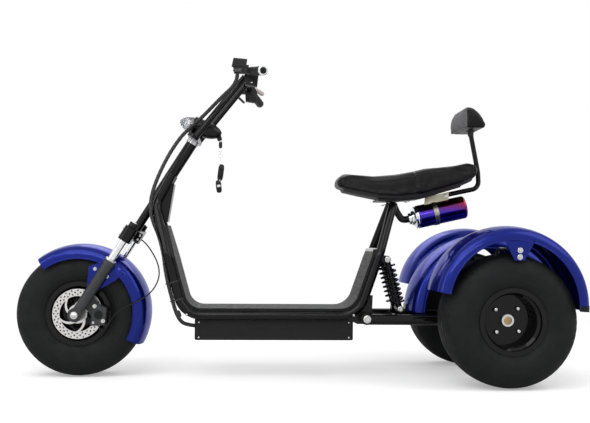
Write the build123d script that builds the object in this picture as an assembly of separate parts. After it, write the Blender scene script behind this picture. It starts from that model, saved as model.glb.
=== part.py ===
"""Three-wheel electric scooter: one steered front wheel, two driven rear wheels.

Frame: +X forwards, +Y to the rider's left, +Z up, origin on the floor at the middle
of the outer box. Lengths are millimetres. Most places along the scooter are given as
a distance behind the front axle, which at() turns into X.
"""
from build123d import *
import os
from math import atan2, cos, degrees, hypot, pi, radians, sin, tan

os.makedirs("parts", exist_ok=True)

# Driving sizes of the whole scooter
wheelbase = 1490.0
track = 580.0
tyre_r = 228.5
tyre_w = 205.0
rake_deg = 32.0
seat_gap = 0.3
run_gap = 0.05

# Rims, 203 mm across the bead seats
bead_r = 101.6
flange_r = 114.0
flange_y = 88.0
rim_wall = 3.6
well_r = 93.0

# Rear fender arch, a circle whose centre is above the axle
arch_r = 268.0
arch_rise = 55.0
sheet = 2.6
tip_depth = 3.0

front_x = (wheelbase + arch_r + tip_depth - tyre_r) / 2
rake = radians(rake_deg)
axis_up = Vector(-sin(rake), 0, cos(rake))
axle_z = tyre_r


def at(behind, y, z):
    """A point given by its distance behind the front axle."""
    return (front_x - behind, y, z)


def on_axis(s, y=0.0, ahead=0.0):
    """A point s up the steering axis from the front axle, y to the left, ahead of the axis."""
    return (
        front_x - s * sin(rake) + ahead * cos(rake),
        y,
        axle_z + s * cos(rake) + ahead * sin(rake),
    )


def axis_plane(s, y=0.0, ahead=0.0):
    """A plane square to the steering axis, its x to the front and its y to the left."""
    return Plane(origin=on_axis(s, y, ahead), x_dir=(cos(rake), 0, sin(rake)), z_dir=axis_up)


def side_plane(y):
    """The side view: x is the distance behind the front axle, y is the height."""
    return Plane(origin=(front_x, y, 0), x_dir=(-1, 0, 0), z_dir=(0, 1, 0))


def rod(start, end, radius):
    """A round bar between two points."""
    line = Line(start, end)
    return sweep(Plane(origin=start, z_dir=line % 0) * Circle(radius), path=line)


def bent_tube(points, radii, radius):
    """A round tube along straight runs joined by bends."""
    path = FilletPolyline(*points, radius=radii)
    return sweep(Plane(origin=path @ 0, z_dir=path % 0) * Circle(radius), path=path)


def drum(x, z, y0, y1, radius, bore=0.0):
    """A disc or sleeve about a cross axis, from y0 to y1."""
    face = Circle(radius) - Circle(bore) if bore else Circle(radius)
    return extrude(Plane(origin=(x, y0, z), x_dir=(1, 0, 0), z_dir=(0, 1, 0)) * face, amount=y1 - y0)


def turned(x, z, y, points):
    """A solid turned about a cross axis from (y, r) points, y from the middle plane."""
    plane = Plane(origin=(x, y, z), x_dir=(0, 1, 0), z_dir=(1, 0, 0))
    face = plane * make_face(Polyline(*points, close=True))
    return revolve(face, Axis((x, y, z), (0, 1, 0)), 360)


def slab(outline, y0, y1):
    """A plate with a side-view outline of (behind, z) points, from y0 to y1."""
    return extrude(side_plane(y0) * make_face(Polyline(*outline, close=True)), amount=y1 - y0)


def both(shape):
    """The shape and its mirror image."""
    return [shape, mirror(shape, about=Plane.XZ)]


def write(name, *shapes):
    """Writes a node with one or more solids."""
    solids = [solid for shape in shapes for solid in Compound(children=[shape]).solids()]
    export_step(Compound(children=solids), f"parts/{name}.step")


# Tyres and rims
def tyre_face():
    """Half-round horseshoe section of a tyre in (y, r)."""
    foot = flange_y - 4.0 - seat_gap
    half = tyre_w / 2
    outer = [
        Line((foot, bead_r + seat_gap), (foot, flange_r + 4)),
        ThreePointArc((foot, flange_r + 4), (half, 162), (half - 14, 208)),
        ThreePointArc((half - 14, 208), (half - 24, 218.5), (half - 43, tyre_r - 4.5)),
        ThreePointArc((half - 43, tyre_r - 4.5), (0, tyre_r), (43 - half, tyre_r - 4.5)),
        ThreePointArc((43 - half, tyre_r - 4.5), (24 - half, 218.5), (14 - half, 208)),
        ThreePointArc((14 - half, 208), (-half, 162), (-foot, flange_r + 4)),
        Line((-foot, flange_r + 4), (-foot, bead_r + seat_gap)),
        Line((-foot, bead_r + seat_gap), (12 - foot, bead_r + seat_gap)),
        Line((12 - foot, bead_r + seat_gap), (12 - foot, flange_r + 5)),
        ThreePointArc((12 - foot, flange_r + 5), (10 - half, 162), (23 - half, 204)),
        ThreePointArc((23 - half, 204), (0, tyre_r - 12), (half - 23, 204)),
        ThreePointArc((half - 23, 204), (half - 10, 162), (foot - 12, flange_r + 5)),
        Line((foot - 12, flange_r + 5), (foot - 12, bead_r + seat_gap)),
        Line((foot - 12, bead_r + seat_gap), (foot, bead_r + seat_gap)),
    ]
    return make_face(outer)


def tyre(x, y):
    plane = Plane(origin=(x, y, axle_z), x_dir=(0, 1, 0), z_dir=(1, 0, 0))
    return revolve(plane * tyre_face(), Axis((x, y, axle_z), (0, 1, 0)), 360)


def rim_barrel(x, y):
    inside = bead_r - rim_wall
    seat_y = flange_y - 18
    well_y = flange_y - 26
    half = [
        (flange_y, inside),
        (flange_y, flange_r),
        (flange_y - 4, flange_r),
        (flange_y - 4, bead_r),
        (seat_y, bead_r),
        (well_y, well_r),
    ]
    floor = [(well_y, well_r - rim_wall), (seat_y, inside)]
    points = half + [(-a, r) for a, r in reversed(half)]
    points += [(-a, r) for a, r in reversed(floor)] + floor
    return turned(x, axle_z, y, points)


rear_x = front_x - wheelbase
hub_r = 30.0
axle_r = 7.5

# Front wheel: hub, web and rim in one casting, disc on its left
hub_left = 100.0
hub_right = 60.0
web_y = -12.0
disc_t = 4.0
disc_r = 89.0
web = drum(front_x, axle_z, web_y - 3, web_y + 3, well_r - 1, hub_r - 1)
for k in range(5):
    a = radians(72 * k + 36)
    window = drum(front_x + 61 * cos(a), axle_z + 61 * sin(a), web_y - 5, web_y + 5, 17)
    web -= window
hub = drum(front_x, axle_z, -hub_right, hub_right, hub_r, axle_r + run_gap)
hub += drum(front_x, axle_z, hub_right - 1, hub_left, hub_r - 4, axle_r + run_gap)
write("front_rim", rim_barrel(front_x, 0) + web + hub)
write("front_tyre", tyre(front_x, 0))

disc_hub_r = 27.0
disc = Circle(disc_r) - Circle(disc_r - 25)
for k in range(5):
    spoke = Pos(disc_r / 2, 0) * Rectangle(disc_r - 25, 11)
    disc += Rot(0, 0, 72 * k) * spoke
disc = disc + Circle(disc_hub_r + 5) - Circle(axle_r + 11)
hole_rows = [(disc_r - 7, 20, 0), (disc_r - 17, 20, 9)]
for row_r, count, turn in hole_rows:
    disc -= [Rot(0, 0, turn + 360 / count * k) * Pos(row_r, 0) * Circle(2.8) for k in range(count)]
disc_plane = Plane(origin=(front_x, hub_left, axle_z), x_dir=(1, 0, 0), z_dir=(0, 1, 0))
write("brake_disc", extrude(disc_plane * disc, amount=disc_t))

# Fork: axle, sliders, stanchions, lower clamp and stem
leg_y = 142.0
slider_r = 19.0
slider_top = 223.0
stanchion_r = 13.5
clamp_low = 308.0
clamp_high = 362.0
stem_r = 16.0
stem_top = 763.7
drop_half = slider_r
left_spacer = drum(front_x, axle_z, hub_left + seat_gap, leg_y - drop_half - seat_gap, 12)
right_spacer = drum(front_x, axle_z, drop_half + seat_gap - leg_y, -hub_right - seat_gap, 12)
axle = drum(front_x, axle_z, -leg_y - drop_half - 6, leg_y + drop_half + 6, axle_r)
for y in (leg_y + drop_half + seat_gap, -leg_y - drop_half - seat_gap - 11):
    axle += drum(front_x, axle_z, y, y + 11, 13)
write("front_axle", axle + left_spacer + right_spacer)

slider = extrude(axis_plane(-20, leg_y) * Circle(slider_r), amount=slider_top + 20)
slider += drum(front_x, axle_z, leg_y - drop_half, leg_y + drop_half, 25)
slider += extrude(axis_plane(slider_top - 16, leg_y) * Circle(slider_r + 3), amount=16)
slider -= drum(front_x, axle_z, leg_y - 30, leg_y + 30, axle_r + run_gap)
slider -= extrude(axis_plane(60, leg_y) * Circle(stanchion_r + run_gap), amount=slider_top)
write("fork_sliders", *both(slider))
stanchion = extrude(axis_plane(60 + seat_gap, leg_y) * Circle(stanchion_r), amount=clamp_high - 56)
write("fork_stanchions", *both(stanchion))

clamp_face = SlotCenterToCenter(2 * leg_y, 46)
clamp = extrude(axis_plane(clamp_low) * Rot(0, 0, 90) * clamp_face, amount=clamp_high - clamp_low)
for y in (leg_y, -leg_y):
    clamp -= extrude(axis_plane(clamp_low - 1, y) * Circle(stanchion_r + run_gap), amount=80)
waist = Plane(origin=on_axis(clamp_low - 1), x_dir=(cos(rake), 0, sin(rake)), z_dir=axis_up)
clamp -= extrude(waist * Rectangle(60, 190), amount=20)
stem = extrude(axis_plane(clamp_high - 10) * Circle(stem_r), amount=stem_top - clamp_high + 10)
write("fork_clamp_and_stem", clamp + stem)

# Front fender, concentric with the wheel, and the plates that hold it
guard_r = 250.0
guard_half = 116.0
guard_lip = 198.0


def u_section(half, lip, shoulder, crown, corner, thickness):
    """A fender's section in (y, r): two sides, rounded shoulders and a crown."""
    slope = atan2(crown - shoulder, half - 4)
    peak = crown + crown * (1 / cos(slope) - 1)

    def line(inset):
        points = [
            (half - inset, lip),
            (half - 4 - inset, shoulder - inset),
            (0, peak - inset),
            (4 + inset - half, shoulder - inset),
            (inset - half, lip),
        ]
        return FilletPolyline(*points, radius=[corner - inset, crown, corner - inset])

    outer = line(0)
    inner = line(thickness)
    return make_face([outer, Line(outer @ 1, inner @ 1), inner, Line(inner @ 0, outer @ 0)])


def guard(x, y, z, face, start, sweep_deg):
    """Turns a section about a cross axis, from start degrees above the front."""
    a = radians(start)
    plane = Plane(origin=(x, y, z), x_dir=(0, 1, 0), z_dir=(sin(a), 0, -cos(a)))
    return revolve(plane * face, Axis((x, y, z), (0, -1, 0)), sweep_deg)


front_section = u_section(guard_half, guard_lip, guard_r - 14, guard_r, 34, sheet)
fender = guard(front_x, 0, axle_z, front_section, 53, 154)
gusset_y = guard_half - 3
gusset_to = guard_half + 3
gusset = slab([(52, 330), (150, 372), (143, 404), (96, 400)], gusset_y, gusset_to)
for s in (150, 186):
    x, _, z = on_axis(s)
    gusset += drum(x, z, gusset_to - 1, leg_y - slider_r - seat_gap, 7)
write("front_fender", fender + both(gusset))


# Brake caliper with its bracket on the left slider
slot_y = hub_left + disc_t / 2
slot_half = disc_t / 2 + 5
caliper = slab([(50, 188), (100, 192), (106, 250), (62, 272)], flange_y + 5.5, slot_y + 30)
inner_jaw = slab([(50, 192), (80, 192), (86, 246), (62, 258)], flange_y - 6, flange_y + 6)
caliper += inner_jaw
caliper -= drum(front_x, axle_z, slot_y - slot_half, slot_y + slot_half, disc_r + 5)
arm = slab([(14, 262), (40, 240), (64, 200), (96, 240), (60, 290)], slot_y + 12, slot_y + 22)
slider_cut = extrude(axis_plane(-20, leg_y) * Circle(slider_r + seat_gap), amount=slider_top + 20)
arm -= slider_cut
arm -= drum(front_x, axle_z, leg_y - 30, leg_y + 30, 25 + seat_gap)
write("brake_caliper", caliper + arm)

# Main frame: two side tubes, head tube, cross tubes and pivot plates in one weldment
frame_y = 115.0
frame_r = 16.0
floor_z = 226.0
head_low = 480.0
head_high = 735.0
head_r = 21.0
seat_z = 636.0
side_points = [
    at(322, 31, 735),
    at(263, 36, 622),
    at(312, frame_y - 3, 450),
    at(375, frame_y, floor_z),
    at(1003, frame_y, floor_z),
    at(1082, frame_y - 3, 452),
    at(1142, 38, seat_z),
]
side_radii = [70, 90, 85, 95, 90]
side_tube = bent_tube(side_points, side_radii, frame_r)
head = extrude(axis_plane(head_low) * Circle(head_r), amount=head_high - head_low)
crossings = [(520, 243 - 17, 11), (860, 243 - 17, 11)]
frame = side_tube + mirror(side_tube, about=Plane.XZ) + head
for behind, z, radius in crossings:
    frame += rod(at(behind, -frame_y, z), at(behind, frame_y, z), radius)
shock_bar = (1079.0, 436.0)
frame += rod(at(shock_bar[0], -frame_y + 3, shock_bar[1]), at(shock_bar[0], frame_y - 3, shock_bar[1]), 12)
neck = slab([(268, 560), (308, 560), (330, 700), (300, 716), (262, 640)], -30, 30)
frame += neck

pivot_b = 1028.0
pivot_z = 218.0
pivot_r = 8.0
pivot_plate_y = 104.0
pivot_plate_t = 8.0
pivot_outline = [(960, 214), (1000, 196), (1040, 196), (1052, 214), (1056, 300), (1030, 300), (985, 240)]
pivot_plate = slab(pivot_outline, pivot_plate_y, pivot_plate_y + pivot_plate_t)
frame += both(pivot_plate)
frame -= drum(front_x - pivot_b, pivot_z, -200, 200, pivot_r + run_gap)
frame -= extrude(axis_plane(head_low - 40) * Circle(stem_r + run_gap), amount=head_high - head_low + 80)

shock_y = 60.0
shock_top = (1115.0, 429.0)
shock_low = (1163.0, 247.0)
ear = slab([(1070, 424), (1118, 416), (1127, 429), (1118, 442), (1076, 448)], shock_y + 12, shock_y + 17)
ear += slab([(1070, 424), (1118, 416), (1127, 429), (1118, 442), (1076, 448)], shock_y - 17, shock_y - 12)
frame += both(ear)
shock_bolt_r = 5.0
frame -= drum(front_x - shock_top[0], shock_top[1], -90, 90, shock_bolt_r + run_gap)
seat_rail = slab([(1080, seat_z - 8), (1330, seat_z + 32), (1330, seat_z + 38), (1080, seat_z - 2)], -46, 46)
write("main_frame", frame)

# Bearing ring, top yoke and handlebar with its two risers
yoke_low = head_high + 15
yoke_t = 14.0
riser_y = 85.0
riser_r = 12.0
bar_r = 11.0
ring = Circle(head_r + 3) - Circle(stem_r + run_gap)
write("head_bearing", extrude(axis_plane(head_high + seat_gap) * ring, amount=yoke_low - head_high - 2 * seat_gap))
yoke_face = Rot(0, 0, 90) * SlotCenterToCenter(2 * riser_y, 44) - Circle(stem_r + run_gap)
write("top_yoke", extrude(axis_plane(yoke_low) * yoke_face, amount=yoke_t))

bar_top = (588.0, 1094.0)
bar_points = [
    at(646, 345, 1064),
    at(606, 200, 1088),
    at(bar_top[0], riser_y, bar_top[1]),
    at(bar_top[0], -riser_y, bar_top[1]),
    at(606, -200, 1088),
    at(646, -345, 1064),
]
bar_radii = [60, 60, 60, 60]
bar = bent_tube(bar_points, bar_radii, bar_r)
bar_cutter = bent_tube(bar_points, bar_radii, bar_r + seat_gap)
riser = rod(at(388, riser_y, 842.3), at(bar_top[0], riser_y, bar_top[1]), riser_r)
below = extrude(axis_plane(yoke_low + yoke_t) * Rectangle(300, 400), amount=-80)
riser -= below
write("handlebar", bar + both(riser))


def along_bar(start, end, radius, bore):
    """A sleeve on the outer stretch of the bar, from one share of it to another."""
    p0 = Vector(*bar_points[1])
    p1 = Vector(*bar_points[0])
    run = p1 - p0
    plane = Plane(origin=p0 + run * start, z_dir=run)
    face = Circle(radius) - Circle(bore) if bore else Circle(radius)
    return extrude(plane * face, amount=run.length * (end - start))


write("grips", *both(along_bar(0.2, 1.02, 16, bar_r + seat_gap)))
perch = along_bar(0.03, 0.19, 17, bar_r + seat_gap)
perch_cup = slab([(540, 1104), (590, 1100), (594, 1128), (546, 1132)], 196, 222)
lever = bent_tube([at(560, 214, 1088), at(548, 250, 1082), at(580, 335, 1066)], [30], 5)
pivot_block = slab([(548, 1080), (600, 1078), (600, 1108), (544, 1108)], 200, 220)
lever_set = perch + perch_cup + lever + pivot_block
lever_set -= along_bar(-0.3, 0.5, bar_r + seat_gap, 0)
lever_set -= bar_cutter
write("brake_levers", *both(lever_set))
pod = slab([(588, 1044), (630, 1038), (634, 1076), (622, 1106), (590, 1106), (586, 1078)], 166, 190)
pod -= bar_cutter
write("switch_pods", *both(pod))

key_b = 495.0

# Headlight, a closed egg shape with a clear front, on a stalk from the yoke
lamp_centre = at(421, 0, 914)
lamp_tilt = radians(18)
lamp_dir = Vector(cos(lamp_tilt), 0, sin(lamp_tilt))
lamp_r = 31.0
lamp_half = 80.0
lens_from = 20.0
lamp_side = Plane(origin=lamp_centre, x_dir=(0, 1, 0), z_dir=(sin(lamp_tilt), 0, -cos(lamp_tilt)))
shell_face = make_face([
    Line((0, -lamp_half), (8, -lamp_half)),
    ThreePointArc((8, -lamp_half), (25, -38), (lamp_r, lens_from)),
    Line((lamp_r, lens_from), (0, lens_from)),
    Line((0, lens_from), (0, -lamp_half)),
])
lens_face = make_face([
    Line((0, lens_from + seat_gap), (lamp_r, lens_from + seat_gap)),
    ThreePointArc((lamp_r, lens_from + seat_gap), (23, 60), (6, lamp_half)),
    Line((6, lamp_half), (0, lamp_half)),
    Line((0, lamp_half), (0, lens_from + seat_gap)),
])
lamp_axis = Axis(lamp_centre, lamp_dir)
lamp_shell = revolve(lamp_side * shell_face, lamp_axis, 360)
write("headlight_lens", revolve(lamp_side * lens_face, lamp_axis, 360))
stalk = extrude(axis_plane(yoke_low + yoke_t) * Rectangle(14, 24), amount=24)
lock = rod(at(487, 0, 888), at(key_b, 0, 866), 8)
write("headlight_housing", lamp_shell + stalk + lock)

# Key in the lamp's tail with its fob on a short chain
key = slab([(key_b - 4, 838), (key_b + 4, 838), (key_b + 4, 865.7), (key_b - 4, 865.7)], -1.5, 1.5)
link = rod(at(key_b, 0, 840), at(key_b, 0, 784), 2.5)
fob = slab([(490, 740), (508, 740), (510, 780), (504, 788), (494, 788)], -7, 7)
tag = slab([(486, 678), (502, 678), (506, 742), (490, 742)], -4, 4)
write("key_and_fob", key + link + fob + tag)

# Foot deck: a plate and a ribbed mat that follow the side tubes
deck_half = 118.0
plate_thick = 2.0
mat_thick = 7.0
mat_ends = (548.0, 466.0)


def deck_band(inner, outer):
    """The side-view band between two offsets from the side tubes' centre line."""
    def line(offset):
        a_front = atan2(312 - 375, 450 - floor_z)
        a_back = atan2(1082 - 1003, 452 - floor_z)
        front = (375 + offset * (1 + 0) * (1 / cos(a_front)) - (0) + offset * tan(-a_front) * 0, floor_z + offset)
        low_front = (375 + offset / cos(a_front) + offset * tan(a_front), floor_z + offset)
        low_back = (1003 - offset / cos(a_back) + offset * tan(a_back), floor_z + offset)
        high_front = (low_front[0] + (mat_ends[0] - low_front[1]) * tan(a_front), mat_ends[0])
        high_back = (low_back[0] + (mat_ends[1] - low_back[1]) * tan(a_back), mat_ends[1])
        return FilletPolyline(high_front, low_front, low_back, high_back,
                              radius=[85 - offset, 95 - offset])

    near = line(inner)
    far = line(outer)
    return make_face([near, Line(near @ 1, far @ 1), far, Line(far @ 0, near @ 0)])


taper = make_face(Polyline(
    (-deck_half, 0), (deck_half, 0), (deck_half, 430), (60, 570), (-60, 570), (-deck_half, 430), close=True))
taper_plane = Plane(origin=(front_x, 0, 0), x_dir=(0, 1, 0), z_dir=(1, 0, 0))
taper_block = extrude(taper_plane * taper, amount=-wheelbase)
low = frame_r + seat_gap
plate = extrude(side_plane(-deck_half) * deck_band(low, low + plate_thick), amount=2 * deck_half)
mat = extrude(side_plane(-deck_half + 2) * deck_band(low + plate_thick, low + plate_thick + mat_thick),
              amount=2 * deck_half - 4)
write("deck_plate", plate & taper_block)
write("deck_mat", mat & taper_block)

# Battery box under the deck
box_b = (415.0, 986.0)
box_half = 100.0
box_z = (136.0, floor_z - 11 - seat_gap)
box = slab([(box_b[0], box_z[0]), (box_b[1], box_z[0]), (box_b[1], box_z[1]), (box_b[0], box_z[1])],
           -box_half, box_half)
write("battery_box", fillet(box.edges().filter_by(Axis.Y), 6))

# Mudguard between the rear wheels and the stays of the rear fenders
mud_r = 295.0
mud_half = 112.0
stay_b = 1496.0
stay_y = 165.0
stay_r = 7.0
stay_z = tyre_r * 2 + 14

# Rear swing arm with the axle tubes, pivot bolt and drive motor
arm_y = 140.0
arm_r = 19.0
arm_z = 210.0
motor_half = 70.0
shaft_r = 14.0
housing_end = 250.0
arm_tube = rod(at(pivot_b, arm_y, 215), at(wheelbase, arm_y, arm_z + 4), arm_r)
arm_tube += drum(front_x - pivot_b, pivot_z, pivot_plate_y + pivot_plate_t + seat_gap, arm_y + 21, 21)
housing = drum(rear_x, axle_z, motor_half + seat_gap, housing_end, 30)
housing += drum(rear_x, axle_z, housing_end - 8, housing_end, 46)
arm_side = arm_tube + housing
cross = rod(at(shock_low[0], -arm_y, 214), at(shock_low[0], arm_y, 214), 15)
swing = arm_side + mirror(arm_side, about=Plane.XZ) + cross
tab_b = wheelbase - mud_r * cos(radians(5)) - seat_gap
swing += slab([(1160, 206), (tab_b, 206), (tab_b, 262), (tab_b - 4, 262), (tab_b - 4, 212), (1160, 212)], -25, 25)
foot = slab([(stay_b - 12, 245), (stay_b + 12, 245), (stay_b + 12, 262), (stay_b - 12, 262)], stay_y - 12, stay_y + 12)
swing += both(foot)
low_ear_outline = [(1148, 214), (1178, 214), (1175, 250), (1163, 259), (1151, 250)]
low_ear = slab(low_ear_outline, shock_y + 12, shock_y + 17) + slab(low_ear_outline, shock_y - 17, shock_y - 12)
swing += both(low_ear)
swing -= drum(front_x - shock_low[0], shock_low[1], -90, 90, shock_bolt_r + run_gap)
swing -= drum(front_x - pivot_b, pivot_z, -200, 200, pivot_r + run_gap)
swing -= drum(rear_x, axle_z, -300, 300, shaft_r + run_gap)
write("swing_arm", swing)
pivot_bolt = drum(front_x - pivot_b, pivot_z, -arm_y - 30, arm_y + 30, pivot_r)
for y in (arm_y + 21 + seat_gap, -arm_y - 21 - seat_gap - 10):
    pivot_bolt += drum(front_x - pivot_b, pivot_z, y, y + 10, 13)
write("drive_motor", drum(rear_x, axle_z, -motor_half, motor_half, 66))

# Rear shocks: eye, damper, coil spring and lower clevis between the ears
shock_run = Vector(*at(shock_top[0], 0, shock_top[1])) - Vector(*at(shock_low[0], 0, shock_low[1]))
spring_r = 20.0
wire_r = 4.0
turns = 7


def shock(y):
    low_pt = Vector(*at(shock_low[0], y, shock_low[1]))
    plane = Plane(origin=low_pt, x_dir=(0, 1, 0), z_dir=shock_run)
    length = shock_run.length
    body = extrude(plane * Circle(11), amount=length)
    body += extrude(Plane(plane.from_local_coords((0, 0, 24)), x_dir=(0, 1, 0), z_dir=shock_run)
                    * Circle(spring_r + 5), amount=6)
    body += extrude(Plane(plane.from_local_coords((0, 0, length - 28)), x_dir=(0, 1, 0), z_dir=shock_run)
                    * Circle(spring_r + 5), amount=6)
    for place in (shock_low, shock_top):
        body += drum(front_x - place[0], place[1], y - 11.7, y + 11.7, 13)
        body -= drum(front_x - place[0], place[1], y - 30, y + 30, shock_bolt_r + run_gap)
    return body


def spring(y):
    start = 30 + wire_r + seat_gap
    height = shock_run.length - 28 - start - wire_r - seat_gap
    low_pt = Vector(*at(shock_low[0], y, shock_low[1]))
    plane = Plane(origin=low_pt, x_dir=(0, 1, 0), z_dir=shock_run)
    coil = Helix(pitch=height / turns, height=height, radius=spring_r)
    wire = sweep(Plane(origin=coil @ 0, z_dir=coil % 0) * Circle(wire_r), path=coil, is_frenet=True)
    base = Plane(plane.from_local_coords((0, 0, start)), x_dir=(0, 1, 0), z_dir=shock_run)
    return base.location * wire


write("shock_dampers", *both(shock(shock_y)))
write("shock_springs", spring(shock_y), spring(-shock_y))
pins = []
for place in (shock_low, shock_top):
    pin = drum(front_x - place[0], place[1], shock_y - 22, shock_y + 22, shock_bolt_r)
    pins += both(pin)
write("suspension_bolts", pivot_bolt, *pins)

# Rear wheels: tyre, rim, hub with its shaft, and the hub nut
plate_from = 6.0
plate_to = 12.0
bolt_pcd = 110.0
rear_hub_r = 68.0
for side, name in ((1, "left"), (-1, "right")):
    mid = side * track / 2

    def out(inner, outer, radius, bore=0.0):
        y0 = mid + side * inner
        y1 = mid + side * outer
        return drum(rear_x, axle_z, min(y0, y1), max(y0, y1), radius, bore)

    rim = rim_barrel(rear_x, mid) + out(plate_from, plate_to, well_r - 1, 15.3)
    flange = out(plate_from - 8, plate_from, rear_hub_r) + out(-150, plate_to + 10, shaft_r)
    write(f"rear_tyre_{name}", tyre(rear_x, mid))
    write(f"rear_rim_{name}", rim)
    nuts = [out(plate_to, plate_to + 9, 22.5, shaft_r + run_gap)]
    for k in range(4):
        a = radians(90 * k + 43)
        x = rear_x + bolt_pcd / 2 * cos(a)
        z = axle_z + bolt_pcd / 2 * sin(a)
        y0 = mid + side * plate_to
        y1 = mid + side * (plate_to + 7)
        nuts.append(drum(x, z, min(y0, y1), max(y0, y1), 7))
    write(f"rear_hub_{name}", flange, *nuts)

# Rear fenders with their stays, and the mudguard between the wheels
fender_in = 178.0
fender_out = 398.0
fender_mid = (fender_in + fender_out) / 2
arch_z = axle_z + arch_rise
fender_section = u_section((fender_out - fender_in) / 2, arch_r - 48, arch_r - 14, arch_r, 34, sheet)
lug_y = fender_out - sheet
lug_outline = [(1452, 508), (1562, 508), (1522, 434), (1488, 434)]
fender = guard(rear_x, fender_mid, arch_z, fender_section, 10, 174)
fender += slab(lug_outline, lug_y, fender_out)
write("rear_fenders", *both(fender))

stay = bent_tube([at(stay_b, stay_y, 262 + seat_gap), at(stay_b, stay_y, stay_z), at(stay_b, lug_y - seat_gap, stay_z)],
                 [30], stay_r)
write("fender_stays", *both(stay))

mud_section = u_section(mud_half, mud_r - 50, mud_r - 14, mud_r, 34, sheet)
write("centre_mudguard", guard(rear_x, 0, axle_z, mud_section, 2, 150))

# Seat: a base pan and a cushion between a side outline and a plan outline
seat_top = [(926, 726), (944, 747), (987, 741), (1067, 735), (1147, 742), (1207, 753), (1255, 766), (1308, 770),
            (1368, 777), (1437, 794)]
seat_low = [(1446, 770), (1432, 726), (1387, 704), (1243, 660), (1154, 651), (1092, 652), (1015, 668), (957, 681),
            (926, 696)]
seat_side = extrude(side_plane(-150) * make_face(Polyline(*seat_top, *seat_low, close=True)), amount=300)
seat_plan = make_face(FilletPolyline(
    (926, -60), (1040, -105), (1240, -135), (1446, -125), (1446, 125), (1240, 135), (1040, 105), (926, 60),
    radius=30, close=True))
plan_plane = Plane(origin=(front_x, 0, 600), x_dir=(-1, 0, 0), z_dir=(0, 0, 1))
cushion = seat_side & extrude(plan_plane * seat_plan, amount=300)
write("seat_cushion", cushion)
pan_band = slab([(1154, 650.7), (1243, 659.7), (1387, 703.7), (1387, 698), (1243, 654), (1154, 644), (1080, 644),
                 (1080, 650.7)], -70, 70)
write("seat_pan", pan_band)

# Backrest: pad and bent post that runs under the seat
post_r = 9.0
post_points = [at(1443, 0, 907), at(1471, 0, 760), at(1474, 0, 700), at(1300, 0, 662)]
post = bent_tube(post_points, [120, 30], post_r)
write("backrest_post", post)
pad_side = [(1389, 909), (1389, 985), (1405, 992), (1425, 990), (1452, 972), (1479, 924), (1470, 909)]
pad = extrude(side_plane(-112) * make_face(Polyline(*pad_side, close=True)), amount=224)
write("backrest_pad", pad)

# Canister under the seat with its front cap and strap
can_front = Vector(*at(1240, 0, 588))
can_back = Vector(*at(1421, 0, 629))
can_run = can_back - can_front
can_r = 43.0
can_plane = Plane(origin=can_front, x_dir=(0, 1, 0), z_dir=can_run)
write("canister", extrude(can_plane * Circle(can_r), amount=can_run.length))
cap_plane = Plane(origin=can_front - can_run.normalized() * seat_gap, x_dir=(0, 1, 0), z_dir=-can_run)
cap = extrude(cap_plane * Circle(can_r + 1), amount=12)
cap += extrude(cap_plane * Circle(15), amount=44)
strap = slab([(1264, 625), (1354, 646), (1354, 687.6), (1264, 660)], post_r + 3, post_r + 9)
strap -= extrude(can_plane * Circle(can_r + seat_gap), amount=can_run.length)
write("canister_fittings", cap, strap)
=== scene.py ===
"""Looks of a three-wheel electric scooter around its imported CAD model.

Laid out as an add-on: property groups hold the sizes and colours, one operator makes each group of
pieces, and one panel lists them. Lengths are metres. +X is forwards, +Y the rider's left, +Z up.
"""

import bmesh
import bpy
import numpy as np
from bpy.props import FloatProperty, FloatVectorProperty, IntProperty, PointerProperty
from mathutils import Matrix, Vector


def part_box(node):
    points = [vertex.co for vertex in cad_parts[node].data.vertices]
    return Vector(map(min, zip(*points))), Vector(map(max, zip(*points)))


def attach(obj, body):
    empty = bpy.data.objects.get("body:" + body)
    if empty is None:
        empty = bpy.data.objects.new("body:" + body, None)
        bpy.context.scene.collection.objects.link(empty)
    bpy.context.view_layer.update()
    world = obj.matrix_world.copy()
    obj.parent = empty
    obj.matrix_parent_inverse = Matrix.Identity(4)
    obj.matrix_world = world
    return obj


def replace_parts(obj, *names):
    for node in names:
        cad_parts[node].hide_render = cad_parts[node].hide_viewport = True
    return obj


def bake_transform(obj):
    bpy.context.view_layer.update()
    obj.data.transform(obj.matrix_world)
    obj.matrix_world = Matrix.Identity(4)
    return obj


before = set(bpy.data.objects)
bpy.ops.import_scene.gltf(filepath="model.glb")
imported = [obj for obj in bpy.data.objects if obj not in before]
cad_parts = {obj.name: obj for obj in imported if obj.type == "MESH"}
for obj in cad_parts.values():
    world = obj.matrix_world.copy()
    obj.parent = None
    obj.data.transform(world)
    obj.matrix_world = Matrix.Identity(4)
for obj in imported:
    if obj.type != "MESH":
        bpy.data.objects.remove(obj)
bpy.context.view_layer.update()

bl_info = {
    "name": "Three-wheel scooter looks",
    "version": (1, 0, 0),
    "blender": (4, 5, 0),
    "location": "View3D > Sidebar > Scooter",
    "description": "Tyres, seat, cables, fasteners and finishes of a three-wheel scooter",
    "category": "Object",
}


def middle(node):
    """Middle of a CAD node's box, as an array."""
    low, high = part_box(node)
    return (np.array(low) + np.array(high)) / 2


FRONT_AXLE = middle("front_tyre")
REAR_AXLES = {"left": middle("rear_tyre_left"), "right": middle("rear_tyre_right")}
TYRE_R = float(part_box("front_tyre")[1][2] - FRONT_AXLE[2])
TYRE_HALF = float(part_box("front_tyre")[1][1] - FRONT_AXLE[1])


# Sizes and colours

def colour(name, description, default):
    return FloatVectorProperty(name=name, description=description, default=default,
                               subtype="COLOR", size=3, min=0.0, max=1.0)


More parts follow.
